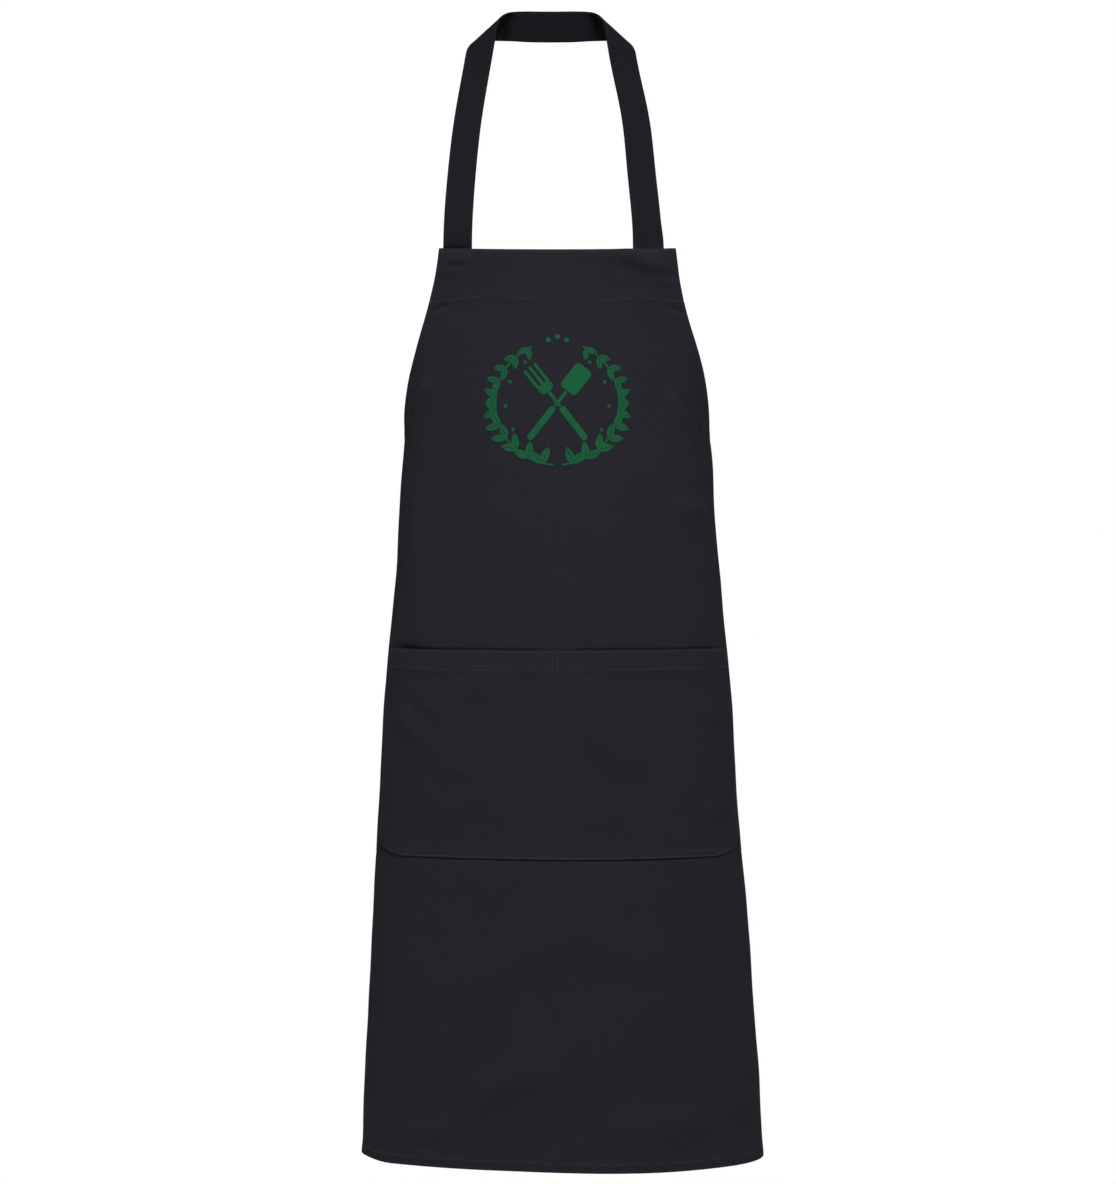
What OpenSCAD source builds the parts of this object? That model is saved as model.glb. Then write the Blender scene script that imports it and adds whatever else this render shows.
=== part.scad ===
// Cotton bib apron: neck strap, shaped bib, divided front pocket, waist ties in a bow at the back.
// Millimetres, +Z up. The wearer faces -Y. The origin is where the neck strap bears on the nape.
// Flat sizes are measured along the cloth; drops are measured down from the bib's top edge.

/* [Panel] */
// Length of the panel from the bib's top edge to the hem
panel_length = 902; // [780:2:1000]
// Flat width of the bib along its top edge
bib_w = 236; // [210:2:270]
// Flat width at the waist corners
waist_w = 670; // [620:5:700]
// Flat width along the hem
hem_w = 690; // [640:5:740]
// Drop of the waist corners, where the armholes end
armhole_drop = 290; // [260:5:320]
// Power of the armhole curve: larger keeps the bib narrow for longer
armhole_power = 2.2; // [1.8:0.1:2.4]
// Share of the armhole's width that slants straight from the bib's corner
armhole_slant = 0.22; // [0.1:0.02:0.3]
// Thickness of the cloth
cloth_t = 1; // [0.6:0.1:1.4]

/* [Hems] */
// Depth of the facing folded in behind the bib's top edge
facing_depth = 50; // [40:2:60]
// How far the straps draw the bib's corners up above the middle of its top edge
corner_rise = 3.5; // [0:0.5:6]
// Width of the hems along the armholes and the skirt's sides
side_hem_w = 12; // [8:1:16]
// Depth of the hem along the bottom
bottom_hem_depth = 10; // [8:1:20]
// Size of the rounded corners at the ends of the hem
hem_corner = 11; // [8:0.5:12]
// Thickness of a folded-in layer
fold_t = 1; // [0.6:0.1:1.4]

/* [Pocket] */
// Drop of the pocket's mouth
pocket_drop = 393; // [370:1:420]
// Height of the pocket
pocket_h = 204; // [170:1:230]
// Flat width of the pocket along its mouth
pocket_mouth_w = 377; // [340:1:400]
// Flat width of the pocket along its bottom seam
pocket_base_w = 400; // [360:1:430]
// Depth of the hem folded in behind the mouth
mouth_hem_depth = 18; // [12:1:24]
// Size of the rounded bottom corners
pocket_corner = 20; // [12:1:26]
// How far the mouth of each half stands off the panel
pocket_slack = 14; // [12:0.5:16]

/* [Neck strap] */
// Width of the neck strap
strap_w = 30; // [24:1:34]
// Thickness of the neck strap, which is folded double
strap_t = 1.2; // [0.8:0.1:1.6]
// Height of the nape above the bib's top edge
neck_drop = 245; // [220:5:270]
// Distance from the bib's left corner to the strap
left_inset = 2; // [0:1:12]
// Distance from the bib's right corner to the strap
right_inset = 11; // [0:1:12]
// Depth of the strap's ends sewn behind the facing
strap_end_depth = 36; // [24:2:38]
// Half the length of the level stretch behind the neck
nape_half = 40.5; // [36:0.5:48]
// Bulge of that stretch round the nape
nape_bulge = 5; // [4:0.5:12]
// Radius of the roll where the strap comes over each shoulder
roll_r = 13.5; // [10:0.5:18]
// Slope of the roll's axis
roll_slope = 44; // [42:0.5:48]
// Angle that the strap turns through round the roll
roll_turn = 145; // [140:1:155]
// How far the left leg of the strap bows out below the shoulder, and in above the bib
left_leg_bow = 0.5; // [0:0.5:5]
// The same for the right leg
right_leg_bow = 3; // [0:0.5:5]

/* [Ties] */
// Width of the waist ties
tie_w = 30; // [24:1:36]
// Thickness of the waist ties
tie_t = 1.2; // [0.8:0.1:1.6]
// Radius of the bow's knot
knot_r = 13; // [11:0.5:16]
// Thickness of the bow's knot, front to back
knot_d = 18; // [14:1:22]
// Width of a tie where the knot gathers it
gather_w = 14; // [10:1:16]
// Distance from the knot at which the gathers have run out
gather_l = 50; // [40:5:60]
// Length of each bow loop
bow_l = 125; // [90:5:150]
// Depth of a bow loop from front to back, near enough
bow_depth = 12; // [8:1:14]
// How far the end of a bow loop sags
bow_sag = 14; // [6:1:18]
// Slope of the bow loops below level
bow_slope = 16; // [10:1:18]
// Length of each hanging tail
tail_l = 430; // [300:10:500]
// Depth of the slack wave in each tail
tail_wave = 5; // [2:1:7]
// Spread of the tails' lower ends from the middle
tail_spread = 34; // [24:2:44]

/* [Body inside] */
// Distance from the nape forward to the bib's top edge
chest_reach = 139; // [125:1:150]
// Distance from the nape forward to the belly
belly_reach = 166; // [150:1:180]
// Drop at which the panel reaches the belly
belly_drop = 380; // [340:10:420]
// Half width of the curve that the bib's top edge follows
chest_half = 185; // [175:1:195]
// Half width of the body at its narrowest
waist_half = 153; // [145:1:165]
// Drop at which the body is narrowest
waist_drop = 180; // [170:5:210]
// How much wider each side is at the hem than at the waist
skirt_spread = 49; // [30:1:60]
// Half depth of the body at the bib's top edge
chest_depth = 87; // [80:1:95]
// Half depth of the body at the hem
skirt_depth = 103; // [95:1:112]
// Sideways place of the bib's middle, from the nape
bib_offset = 8; // [0:1:10]
// How far the hem hangs over to one side
hem_drift = 4.5; // [0:0.5:8]

/* [Hidden] */

LEFT = -1;
RIGHT = 1;
cloth_colour = [0.145, 0.145, 0.17];
strap_colour = [0.13, 0.125, 0.15];
fold_colour = [0.17, 0.17, 0.195];

// Gap between layers that lie on each other without sharing their faces
lay_gap = 0.1;
// Gap that lets the apron turn on the neck strap
swing_gap = 2;
// Gap round the knot that lets loops and tails turn
knot_gap = 1;
// Angle each side of the middle that the body's front arc covers
front_arc = 30;
// Share of the skirt's spread that comes early
early_spread = 0.1;
// Place of a rounded corner's middle point, as a share of the corner's size
corner_share = 0.28;

pocket_foot = pocket_drop + pocket_h;
tie_foot = armhole_drop + tie_w;
knot_drop = armhole_drop + tie_w / 2;

// ---- Form of the body, as level sections made of a front arc and a rounder side arc ----

function mix(a, b, f) = a + (b - a) * f;
function clamp(v, low, high) = min(max(v, low), high);
function ease(f) = let(c = clamp(f, 0, 1)) c * c * (3 - 2 * c);
function steps(a, b, n) = [for (k = [1:n]) mix(a, b, k / n)];
function unit(v) = v / norm(v);
function along(angle) = angle * PI / 180;

function half_w(t) =
    let(u = (t - waist_drop) / (panel_length - waist_drop))
    t < waist_drop
        ? waist_half + (chest_half - waist_half) * pow(1 - t / waist_drop, 2)
        : waist_half + skirt_spread * u * (1 + early_spread * (1 - u));
function half_d(t) = mix(chest_depth, skirt_depth, t / panel_length);
function front_y(t) = -belly_reach + (belly_reach - chest_reach) * pow(max(0, 1 - t / belly_drop), 2);
function middle_x(t) = bib_offset + hem_drift * pow(max(0, t - belly_drop) / (panel_length - belly_drop), 2);

function arc_gap(t) = (half_w(t) - half_d(t)) / (sin(front_arc) + cos(front_arc) - 1);
function side_r(t) = half_w(t) - arc_gap(t) * sin(front_arc);
function front_r(t) = side_r(t) + arc_gap(t);
function side_start(t) = front_r(t) * along(front_arc);
function side_end(t) = side_start(t) + side_r(t) * (PI - 2 * along(front_arc));
// Girth from the middle of the front to the middle of the back
function half_girth(t) = side_end(t) + side_start(t);

// Heading of the section at distance s from its middle, 0 in front and 180 behind
function heading(s, t) =
    s < side_start(t) ? s / front_r(t) * 180 / PI
    : s < side_end(t) ? front_arc + (s - side_start(t)) / side_r(t) * 180 / PI
    : 180 - front_arc + (s - side_end(t)) / front_r(t) * 180 / PI;

// How far the straps draw the cloth up at distance s and drop t
function rise(s, t) = corner_rise * pow(2 * s / bib_w, 2) * pow(clamp(1 - t / (2 * facing_depth), 0, 1), 2);

// Point at distance s round the body and drop t, raised off it by lift
function on_body(s, t, lift) =
    let(f = heading(abs(s), t),
        x = f < front_arc || f > 180 - front_arc
            ? front_r(t) * sin(f)
            : arc_gap(t) * sin(front_arc) + side_r(t) * sin(f),
        y = f < front_arc ? front_r(t) * (1 - cos(f))
            : f < 180 - front_arc ? half_d(t) - side_r(t) * cos(f)
            : 2 * half_d(t) - front_r(t) * (1 + cos(f)))
    [middle_x(t) + sign(s) * (x + lift * sin(f)),
     front_y(t) + y - lift * cos(f),
     rise(s, t) - neck_drop - t];

// ---- Grid that every layer of the panel shares ----

function armhole(f) = mix(pow(f, armhole_power), f, armhole_slant);
function edge_s(t) = t < armhole_drop
    ? mix(bib_w, waist_w, armhole(max(t, 0) / armhole_drop)) / 2
    : mix(waist_w, hem_w, (t - armhole_drop) / (panel_length - armhole_drop)) / 2;
function pocket_s(t) = mix(pocket_mouth_w, pocket_base_w, (t - pocket_drop) / pocket_h) / 2;

inner_cols = 7;
pocket_col = inner_cols + 2;
hem_col = pocket_col + 5;
edge_col = hem_col + 1;

// Column i of the grid across the pocket's height
function pocket_grid(i, t) =
    i <= inner_cols ? (pocket_s(t) - pocket_corner) * i / inner_cols
    : i == inner_cols + 1 ? pocket_s(t) - pocket_corner * corner_share
    : mix(pocket_s(t), edge_s(t) - side_hem_w, (i - pocket_col) / (hem_col - pocket_col));

// Column i at any drop, 0 in the middle and negative to the left
function column(i, t) =
    let(tc = clamp(t, pocket_drop, pocket_foot),
        share = pocket_grid(min(abs(i), hem_col), tc) / (edge_s(tc) - side_hem_w))
    sign(i) * (abs(i) == edge_col ? edge_s(t) : share * (edge_s(t) - side_hem_w));

facing_row = 3;
armhole_row = facing_row + 11;
tie_row = armhole_row + 1;
mouth_row = tie_row + 3;
mouth_hem_row = mouth_row + 1;
foot_row = mouth_hem_row + 8;
hem_row = foot_row + 9;
last_row = hem_row + 1;
DROPS = concat([0], steps(0, facing_depth, 3), steps(facing_depth, armhole_drop, 11), [tie_foot],
               steps(tie_foot, pocket_drop, 3), [pocket_drop + mouth_hem_depth],
               steps(pocket_drop + mouth_hem_depth, pocket_foot - pocket_corner, 6),
               [pocket_foot - pocket_corner * corner_share, pocket_foot],
               steps(pocket_foot, panel_length - bottom_hem_depth, 9), [panel_length]);

// How far the grid's point (i, j) is drawn in at a rounded corner of the hem
function corner_cut(i, j) = j == last_row && abs(i) == edge_col ? hem_corner * corner_share : 0;

// One side of a layer: the grid's points from row j1 to j2 and column i1 to i2 at one lift
function layer(j1, j2, i1, i2, lift) =
    [for (j = [j1:j2]) [for (i = [i1:i2]) let(cut = corner_cut(i, j))
        on_body(column(i, DROPS[j]) - sign(i) * cut, DROPS[j] - cut, lift)]];

// ---- Closed sheet between two grids of points ----

// Triangles of one strip. A row may be one point shorter at each end than the row before it.
function strip(a, b, la, lb, middle) =
    let(shift = (la - lb) / 2)
    concat(
        [for (i = [0:lb - 2]) let(p = a + i + shift, q = b + i)
            each i + shift >= middle ? [[p, p + 1, q], [p + 1, q + 1, q]]
                                     : [[p, p + 1, q + 1], [p, q + 1, q]]],
        shift > 0 ? [[a, a + 1, b], [a + la - 2, a + la - 1, b + lb - 1]] : []);
function flip(faces) = [for (f = faces) [f[2], f[1], f[0]]];
function raise(faces, n) = [for (f = faces) [f[0] + n, f[1] + n, f[2] + n]];
// Wall between the two sides along a chain of points
function wall(chain, n) =
    [for (k = [0:len(chain) - 2]) let(p = chain[k], q = chain[k + 1]) each [[p, q + n, q], [p, p + n, q + n]]];
function starts(rows) = [for (j = 0, a = 0; j < len(rows); a = a + len(rows[j]), j = j + 1) a];

module sheet(outer, inner, middle = 0) {
    rows = len(outer);
    start = starts(outer);
    size = [for (row = outer) len(row)];
    total = start[rows - 1] + size[rows - 1];
    front = [for (j = [0:rows - 2])
        each strip(start[j], start[j + 1], size[j], size[j + 1], middle - (size[0] - size[j]) / 2)];
    top = [for (i = [0:size[0] - 1]) i];
    right = [for (j = [0:rows - 1]) start[j] + size[j] - 1];
    bottom = [for (i = [size[rows - 1] - 1:-1:0]) start[rows - 1] + i];
    left = [for (j = [rows - 1:-1:0]) start[j]];
    polyhedron(
        points = concat([for (row = outer) each row], [for (row = inner) each row]),
        faces = concat(front, flip(raise(front, total)),
                       wall(top, total), wall(right, total), wall(bottom, total), wall(left, total)),
        convexity = 10);
}

module panel_layer(j1, j2, i1, i2, low, high) {
    sheet(layer(j1, j2, i1, i2, high), layer(j1, j2, i1, i2, low), max(0, -i1));
}

// ---- Panel and its folded edges ----

module front_panel() {
    color(cloth_colour) panel_layer(0, last_row, -edge_col, edge_col, 0, cloth_t);
}

module bib_facing() {
    color(fold_colour) panel_layer(0, facing_row, -edge_col, edge_col, -fold_t, 0);
}

module side_hem(side, j1, j2) {
    color(fold_colour)
        if (side == LEFT) panel_layer(j1, j2, -edge_col, -hem_col, -fold_t, 0);
        else panel_layer(j1, j2, hem_col, edge_col, -fold_t, 0);
}

module left_armhole_hem() { side_hem(LEFT, facing_row, armhole_row); }
module right_armhole_hem() { side_hem(RIGHT, facing_row, armhole_row); }
module left_skirt_hem() { side_hem(LEFT, armhole_row, hem_row); }
module right_skirt_hem() { side_hem(RIGHT, armhole_row, hem_row); }

module bottom_hem() {
    color(fold_colour) panel_layer(hem_row, last_row, -edge_col, edge_col, -fold_t, 0);
}

// ---- Pocket: sewn down at its sides, its foot and its middle, slack at the mouth ----

function pocket_last(j) = pocket_col - max(0, j - (foot_row - 2));
function slack(i, j) =
    let(across = abs(i) / (inner_cols + 1),
        down = (DROPS[j] - pocket_drop) / pocket_h)
    across >= 1 ? 0 : pocket_slack * pow(sin(180 * across), 0.7) * pow(max(0, 1 - down), 0.9);
function pocket_base(j) = cloth_t + (j <= mouth_hem_row ? fold_t : 0);
function pocket_side(j1, j2, lift) =
    [for (j = [j1:j2]) [for (i = [-pocket_last(j):pocket_last(j)])
        on_body(column(i, DROPS[j]), DROPS[j], pocket_base(j) + slack(i, j) + lift)]];

module pocket_panel() {
    color(cloth_colour)
        sheet(pocket_side(mouth_row, foot_row, cloth_t), pocket_side(mouth_row, foot_row, 0), pocket_col);
}

module pocket_hem() {
    color(fold_colour)
        sheet(pocket_side(mouth_row, mouth_hem_row, 0), pocket_side(mouth_row, mouth_hem_row, -fold_t),
              pocket_col);
}

// ---- Neck strap: level behind the nape, rolled over each shoulder, down to the bib ----

strap_cols = 6;
roll_arc = roll_r * along(roll_turn);
roll_start = nape_half * sin(roll_slope);
// Distance from the nape at which the whole width has left the roll
leg_start = (roll_arc + roll_start + strap_w / 2 * cos(roll_slope)) / sin(roll_slope);
// Lift of the strap's middle where it is sewn on behind the facing
strap_lift = -(fold_t + lay_gap + strap_t / 2);

// Place on the left half of the loop: u along the strap from the nape, v up its width
function loop_point(u, v, lift) =
    let(c = u * sin(roll_slope) + v * cos(roll_slope) - roll_start,
        a = -u * cos(roll_slope) + v * sin(roll_slope),
        f = clamp(c / roll_r * 180 / PI, 0, roll_turn),
        past = max(0, c - roll_arc),
        m = roll_start + min(c, 0) + (roll_r + lift) * sin(f) + past * cos(roll_turn),
        y = lift * cos(f) - roll_r * (1 - cos(f)) - past * sin(roll_turn)
            - nape_bulge * ease(u / (2 * nape_half)))
    [a * cos(roll_slope) - m * sin(roll_slope), y, a * sin(roll_slope) + m * cos(roll_slope)];

function end_s(side) = side * (bib_w / 2 - (side == LEFT ? left_inset : right_inset) - strap_w / 2);
function leg_from(v) = loop_point(leg_start, v, 0);
function mirrored(side, p) = [side * -p[0], p[1], p[2]];
function leg_foot(side, v) = mirrored(side, on_body(end_s(side) - side * v, -swing_gap, strap_lift));

// Centre line of a leg, leaving the roll straight and meeting the bib along the panel
function leg_line(side, f) =
    let(p = leg_from(0), q = leg_foot(side, 0), reach = norm(q - p),
        bow = (side == LEFT ? left_leg_bow : right_leg_bow) * sin(180 * f) * sin(360 * f),
        d = unit(loop_point(leg_start + 1, 0, 0) - p) * reach,
        e = unit(mirrored(side, on_body(end_s(side), 0, 0) - on_body(end_s(side), -10, 0))) * reach)
    p * (2 * f * f * f - 3 * f * f + 1) + d * (f * f * f - 2 * f * f + f)
        + q * (3 * f * f - 2 * f * f * f) + e * (f * f * f - f * f) - [bow, 0, 0];
function leg_across(side, f) =
    unit(mix(unit(leg_from(1) - leg_from(-1)), unit(leg_foot(side, 1) - leg_foot(side, -1)), f));
function leg_point(side, f, v, lift) =
    let(w = leg_across(side, f),
        d = unit(leg_line(side, f + 0.01) - leg_line(side, f - 0.01)),
        n = unit(cross(d, w)))
    leg_line(side, f) + w * v + n * lift;

leg_steps = 9;
roll_steps = 18;
function widths(n, w) = [for (i = [0:n]) (i / n - 0.5) * w];
function strap_row(side, k, lift) =
    [for (v = widths(strap_cols, strap_w))
        mirrored(side, k <= roll_steps ? loop_point(leg_start * k / roll_steps, v, lift)
                                       : leg_point(side, (k - roll_steps) / leg_steps, v, lift))];
function strap_side(lift) =
    concat([for (k = [roll_steps + leg_steps:-1:0]) strap_row(LEFT, k, lift)],
           [for (k = [1:roll_steps + leg_steps]) strap_row(RIGHT, k, lift)]);

module neck_strap() {
    color(strap_colour) sheet(strap_side(-strap_t / 2), strap_side(strap_t / 2));
}

function strap_end_side(side, lift) =
    [for (t = concat([0], steps(0, strap_end_depth, 3)))
        [for (v = widths(3, strap_w)) on_body(end_s(side) + v, t, lift)]];

module strap_end(side) {
    color(strap_colour)
        sheet(strap_end_side(side, -fold_t - lay_gap), strap_end_side(side, -fold_t - lay_gap - strap_t));
}

module left_strap_end() { strap_end(LEFT); }
module right_strap_end() { strap_end(RIGHT); }

// ---- Waist ties: sewn behind the side hems at the waist corners, drawn in to the knot ----

tie_steps = 8;
knot_y = front_y(knot_drop) + 2 * half_d(knot_drop) + knot_d / 4;
knot_centre = [middle_x(knot_drop), knot_y, -neck_drop - knot_drop];

function tie_end(t) = half_girth(t) - knot_r * 0.7;
function tie_point(side, k, edge, lift) =
    let(f = max(0, k) / tie_steps,
        t = mix(edge < 0 ? armhole_drop : tie_foot, knot_drop + edge * gather_w / 2, ease(f)),
        s = k < 0 ? column(hem_col, t) : mix(edge_s(t), tie_end(t), f))
    on_body(side * s, t, lift);
function tie_side(side, lift) =
    [for (edge = [-1, 1])
        [for (k = side == LEFT ? [tie_steps:-1:-1] : [-1:tie_steps]) tie_point(side, k, edge, lift)]];

module waist_tie(side) {
    color(strap_colour)
        sheet(tie_side(side, -fold_t), tie_side(side, -fold_t - tie_t), side == LEFT ? tie_steps + 1 : 0);
}

module left_waist_tie() { waist_tie(LEFT); }
module right_waist_tie() { waist_tie(RIGHT); }

// ---- Bow: knot, two loops and two tails ----

module tie_knot() {
    round_r = knot_d / 3;
    color(strap_colour)
        translate(knot_centre)
            rotate([90, 0, 0])
                rotate_extrude($fn = 48)
                    union() {
                        translate([0, -knot_d / 2])
                            square([knot_r - round_r, knot_d]);
                        translate([0, round_r - knot_d / 2])
                            square([knot_r, knot_d - 2 * round_r]);
                        for (y = [-1, 1])
                            translate([knot_r - round_r, y * (knot_d / 2 - round_r)])
                                circle(r = round_r, $fn = 32);
                    }
}

bow_steps = 26;
function gathered(r) = mix(gather_w, tie_w, ease(r / gather_l)) / 2;
// Teardrop path of a loop: r out from the knot, q front to back
function bow_path(f) =
    let(a = 180 * mix(0.07, 0.93, f), r = bow_l * pow(sin(a), 2))
    [r + knot_r + knot_gap - bow_l * pow(sin(180 * 0.07), 2), 2 * bow_depth * pow(sin(a), 2) * cos(a), r];
function bow_line(f) =
    let(p = bow_path(f))
    [-p[0] * cos(bow_slope), knot_d / 6 + p[1], -p[0] * sin(bow_slope) - bow_sag * pow(p[2] / bow_l, 2)];
bow_across = [-sin(bow_slope), 0, cos(bow_slope)];
function bow_point(side, f, edge, lift) =
    let(n = unit(cross(bow_line(f + 0.01) - bow_line(f - 0.01), bow_across)))
    knot_centre + mirrored(side, bow_line(f) + bow_across * edge * gathered(bow_path(f)[2]) + n * lift);
function bow_side(side, lift) =
    [for (k = [0:bow_steps]) [for (edge = [-side, side]) bow_point(side, k / bow_steps, edge, lift)]];

module bow_loop(side) {
    color(strap_colour) sheet(bow_side(side, tie_t / 2), bow_side(side, -tie_t / 2));
}

module left_bow_loop() { bow_loop(LEFT); }
module right_bow_loop() { bow_loop(RIGHT); }

tail_steps = 16;
function tail_line(side, f) =
    [side * (gathered(tail_l * f) + knot_gap + (tail_spread - tie_w / 2 - knot_gap) * ease(f)),
     tail_wave * sin(360 * f) - knot_d / 6,
     -knot_r - knot_gap - tail_l * f];
function tail_side(side, lift) =
    [for (k = [0:tail_steps]) let(f = k / tail_steps)
        [for (edge = [-1, 1])
            knot_centre + tail_line(side, f) + [edge * gathered(tail_l * f), lift, 0]]];

module tie_tail(side) {
    color(strap_colour) sheet(tail_side(side, -tie_t / 2), tail_side(side, tie_t / 2));
}

module left_tie_tail() { tie_tail(LEFT); }
module right_tie_tail() { tie_tail(RIGHT); }

front_panel();
bib_facing();
left_armhole_hem();
right_armhole_hem();
left_skirt_hem();
right_skirt_hem();
bottom_hem();
pocket_panel();
pocket_hem();
neck_strap();
left_strap_end();
right_strap_end();
left_waist_tie();
right_waist_tie();
tie_knot();
left_bow_loop();
right_bow_loop();
left_tie_tail();
right_tie_tail();
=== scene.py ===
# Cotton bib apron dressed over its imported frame: a shaped panel, a divided pocket, a neck strap and a bow.
# The cloth is worked out in millimetres, s across from the middle and t down from the bib's top edge.
import math
import bpy
import bmesh
import numpy as np
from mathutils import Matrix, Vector


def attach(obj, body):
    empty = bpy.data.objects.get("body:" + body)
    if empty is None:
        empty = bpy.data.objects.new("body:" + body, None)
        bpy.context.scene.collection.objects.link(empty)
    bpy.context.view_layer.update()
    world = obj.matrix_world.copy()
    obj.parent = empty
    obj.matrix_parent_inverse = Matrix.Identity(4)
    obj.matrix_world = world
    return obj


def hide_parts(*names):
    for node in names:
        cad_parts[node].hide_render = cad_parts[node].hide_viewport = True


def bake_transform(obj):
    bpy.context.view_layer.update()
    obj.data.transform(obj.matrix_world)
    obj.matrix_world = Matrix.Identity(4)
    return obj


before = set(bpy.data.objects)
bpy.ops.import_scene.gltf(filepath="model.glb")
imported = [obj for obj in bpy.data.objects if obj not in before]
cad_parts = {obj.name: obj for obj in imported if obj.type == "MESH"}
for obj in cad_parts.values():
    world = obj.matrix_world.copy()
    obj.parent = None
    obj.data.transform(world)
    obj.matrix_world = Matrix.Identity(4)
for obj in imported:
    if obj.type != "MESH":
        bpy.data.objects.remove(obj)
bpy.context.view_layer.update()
print("frame loaded:", len(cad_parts), "nodes")

left, right = -1, 1
sides = {left: "left", right: "right"}
mm = 0.001


def mix(a, b, share):
    return a + (b - a) * share


def held(share):
    return np.clip(share, 0, 1)


def ease(share):
    c = held(share)
    return c * c * (3 - 2 * c)


# Two soft tests of a distance: how near a place it is, and whether it falls short of one
def dipAt(distance, at, width=0.95):
    return np.exp(-((distance - at) / width) ** 2)


def inside(distance, at, soft):
    return ease((at - distance) / soft + 0.5)


def unit(v):
    return v / np.linalg.norm(v, axis=-1, keepdims=True)


def ramp(a, b, n):
    return list(np.linspace(a, b, n + 1)[1:])


# Steps out from a middle line to both sides
def bothWays(steps):
    return np.concatenate([-np.array(steps)[::-1], [0], steps])


# The body that the apron hangs on, the same as the frame's own form
form = {
    "neckDrop": 245, "panelLength": 902, "chestReach": 139, "bellyReach": 166, "bellyDrop": 380,
    "chestHalf": 185, "waistHalf": 153, "waistDrop": 180, "skirtSpread": 49, "earlySpread": 0.1,
    "chestDepth": 87, "skirtDepth": 103, "bibOffset": 8, "hemDrift": 4.5, "frontArc": math.radians(30),
    "bibHalf": 118, "cornerRise": 3.5, "riseDepth": 100,
}
length = form["panelLength"]


# Half depth of a level section, the shift of its side arc and that arc's radius
def sectionArcs(half, t):
    f, arc = form, form["frontArc"]
    deep = mix(f["chestDepth"], f["skirtDepth"], t / length)
    gap = (half - deep) / (math.sin(arc) + math.cos(arc) - 1)
    return deep, gap, half - gap * math.sin(arc)


def onBody(s, t, lift):
    f, arc = form, form["frontArc"]
    s, t, lift = np.broadcast_arrays(np.asarray(s, float), np.asarray(t, float), np.asarray(lift, float))
    above = np.clip(1 - t / f["waistDrop"], 0, None)
    below = np.clip((t - f["waistDrop"]) / (length - f["waistDrop"]), 0, None)
    half = f["waistHalf"] + (f["chestHalf"] - f["waistHalf"]) * above ** 2
    half = half + f["skirtSpread"] * below * (1 + f["earlySpread"] * (1 - below))
    deep, gap, sideR = sectionArcs(half, t)
    frontR = sideR + gap
    sideStart = frontR * arc
    sideEnd = sideStart + sideR * (math.pi - 2 * arc)
    a = np.abs(s)
    turn = np.where(a < sideEnd, arc + (a - sideStart) / sideR, math.pi - arc + (a - sideEnd) / frontR)
    turn = np.where(a < sideStart, a / frontR, turn)
    flatPart = (turn < arc) | (turn > math.pi - arc)
    x = np.where(flatPart, frontR * np.sin(turn), gap * math.sin(arc) + sideR * np.sin(turn))
    y = np.where(turn < arc, frontR * (1 - np.cos(turn)),
                 np.where(flatPart, 2 * deep - frontR * (1 + np.cos(turn)), deep - sideR * np.cos(turn)))
    drift = np.clip(t - f["bellyDrop"], 0, None) / (length - f["bellyDrop"])
    middle = f["bibOffset"] + f["hemDrift"] * drift ** 2
    forward = mix(f["bellyReach"], f["chestReach"], np.clip(1 - t / f["bellyDrop"], 0, None) ** 2)
    rise = f["cornerRise"] * (s / f["bibHalf"]) ** 2 * held(1 - t / f["riseDepth"]) ** 2
    return np.stack([middle + np.sign(s) * (x + sway(s, t) + lift * np.sin(turn)),
                     y - forward - lift * np.cos(turn), rise + hang(s, t) - f["neckDrop"] - t], -1)


# Outward sway of the cloth's sides: drop, reach and amount for each side
sideSway = {
    -1: [(64, 45, 2.3), (310, 46, -1.9), (447, 62, 1.9), (892, 42, -1.2)],
    1: [(152, 32, -2.4), (262, 40, -1.9), (440, 66, 2.3), (660, 90, 3.0), (815, 45, 1.6)],
}


def sway(s, t):
    total = 0.0
    for side, waves in sideSway.items():
        share = ease((np.abs(s) - 50) / 90) * (np.sign(s) == side)
        total = total + share * sum(amount * dipAt(t, drop, reach) for drop, reach, amount in waves)
    return total


# The hem hangs a little lower to the right of the middle, and the facing's seam is drawn up on the left
def hang(s, t):
    low = held((t - 600) / 300) ** 1.5
    lean = 3.4 * dipAt(s, 112, 95) - 0.4 * dipAt(s, -150, 50) - 2.6 * ease((-s - 178) / 42)
    return 1.5 * held(1 - t / 60) - lean * low


def halfGirth(t):
    f = form
    below = held((t - f["waistDrop"]) / (length - f["waistDrop"]))
    half = f["waistHalf"] + f["skirtSpread"] * below
    _, gap, sideR = sectionArcs(half, t)
    return 2 * (sideR + gap) * f["frontArc"] + sideR * (math.pi - 2 * f["frontArc"])


# A node with its settings and its sockets, each a plain value, a wire or another node's output
def addNode(tree, kind, settings=None, sockets=None):
    made = tree.nodes.new(kind)
    for key, value in (settings or {}).items():
        setattr(made, key, value)
    for key, value in (sockets or {}).items():
        value = value.socket if isinstance(value, Wire) else value
        if isinstance(value, bpy.types.NodeSocket):
            tree.links.new(value, made.inputs[key])
        else:
            made.inputs[key].default_value = value
    return made.outputs


# Shader building: a wire is a socket that takes part in sums, a finish is one material
class Wire:
    def __init__(self, finish, socket):
        self.finish, self.socket = finish, socket

    def math(self, operation, other=None):
        values = [self] if other is None else [self, other]
        return self.finish.node("ShaderNodeMath", {"operation": operation}, dict(enumerate(values)))

    def __add__(self, other):
        return self.math("ADD", other)

    def __sub__(self, other):
        return self.math("SUBTRACT", other)

    def __mul__(self, other):
        return self.math("MULTIPLY", other)

    __radd__, __rmul__ = __add__, __mul__

    def held(self):
        return self.math("MAXIMUM", 0).math("MINIMUM", 1)


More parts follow.
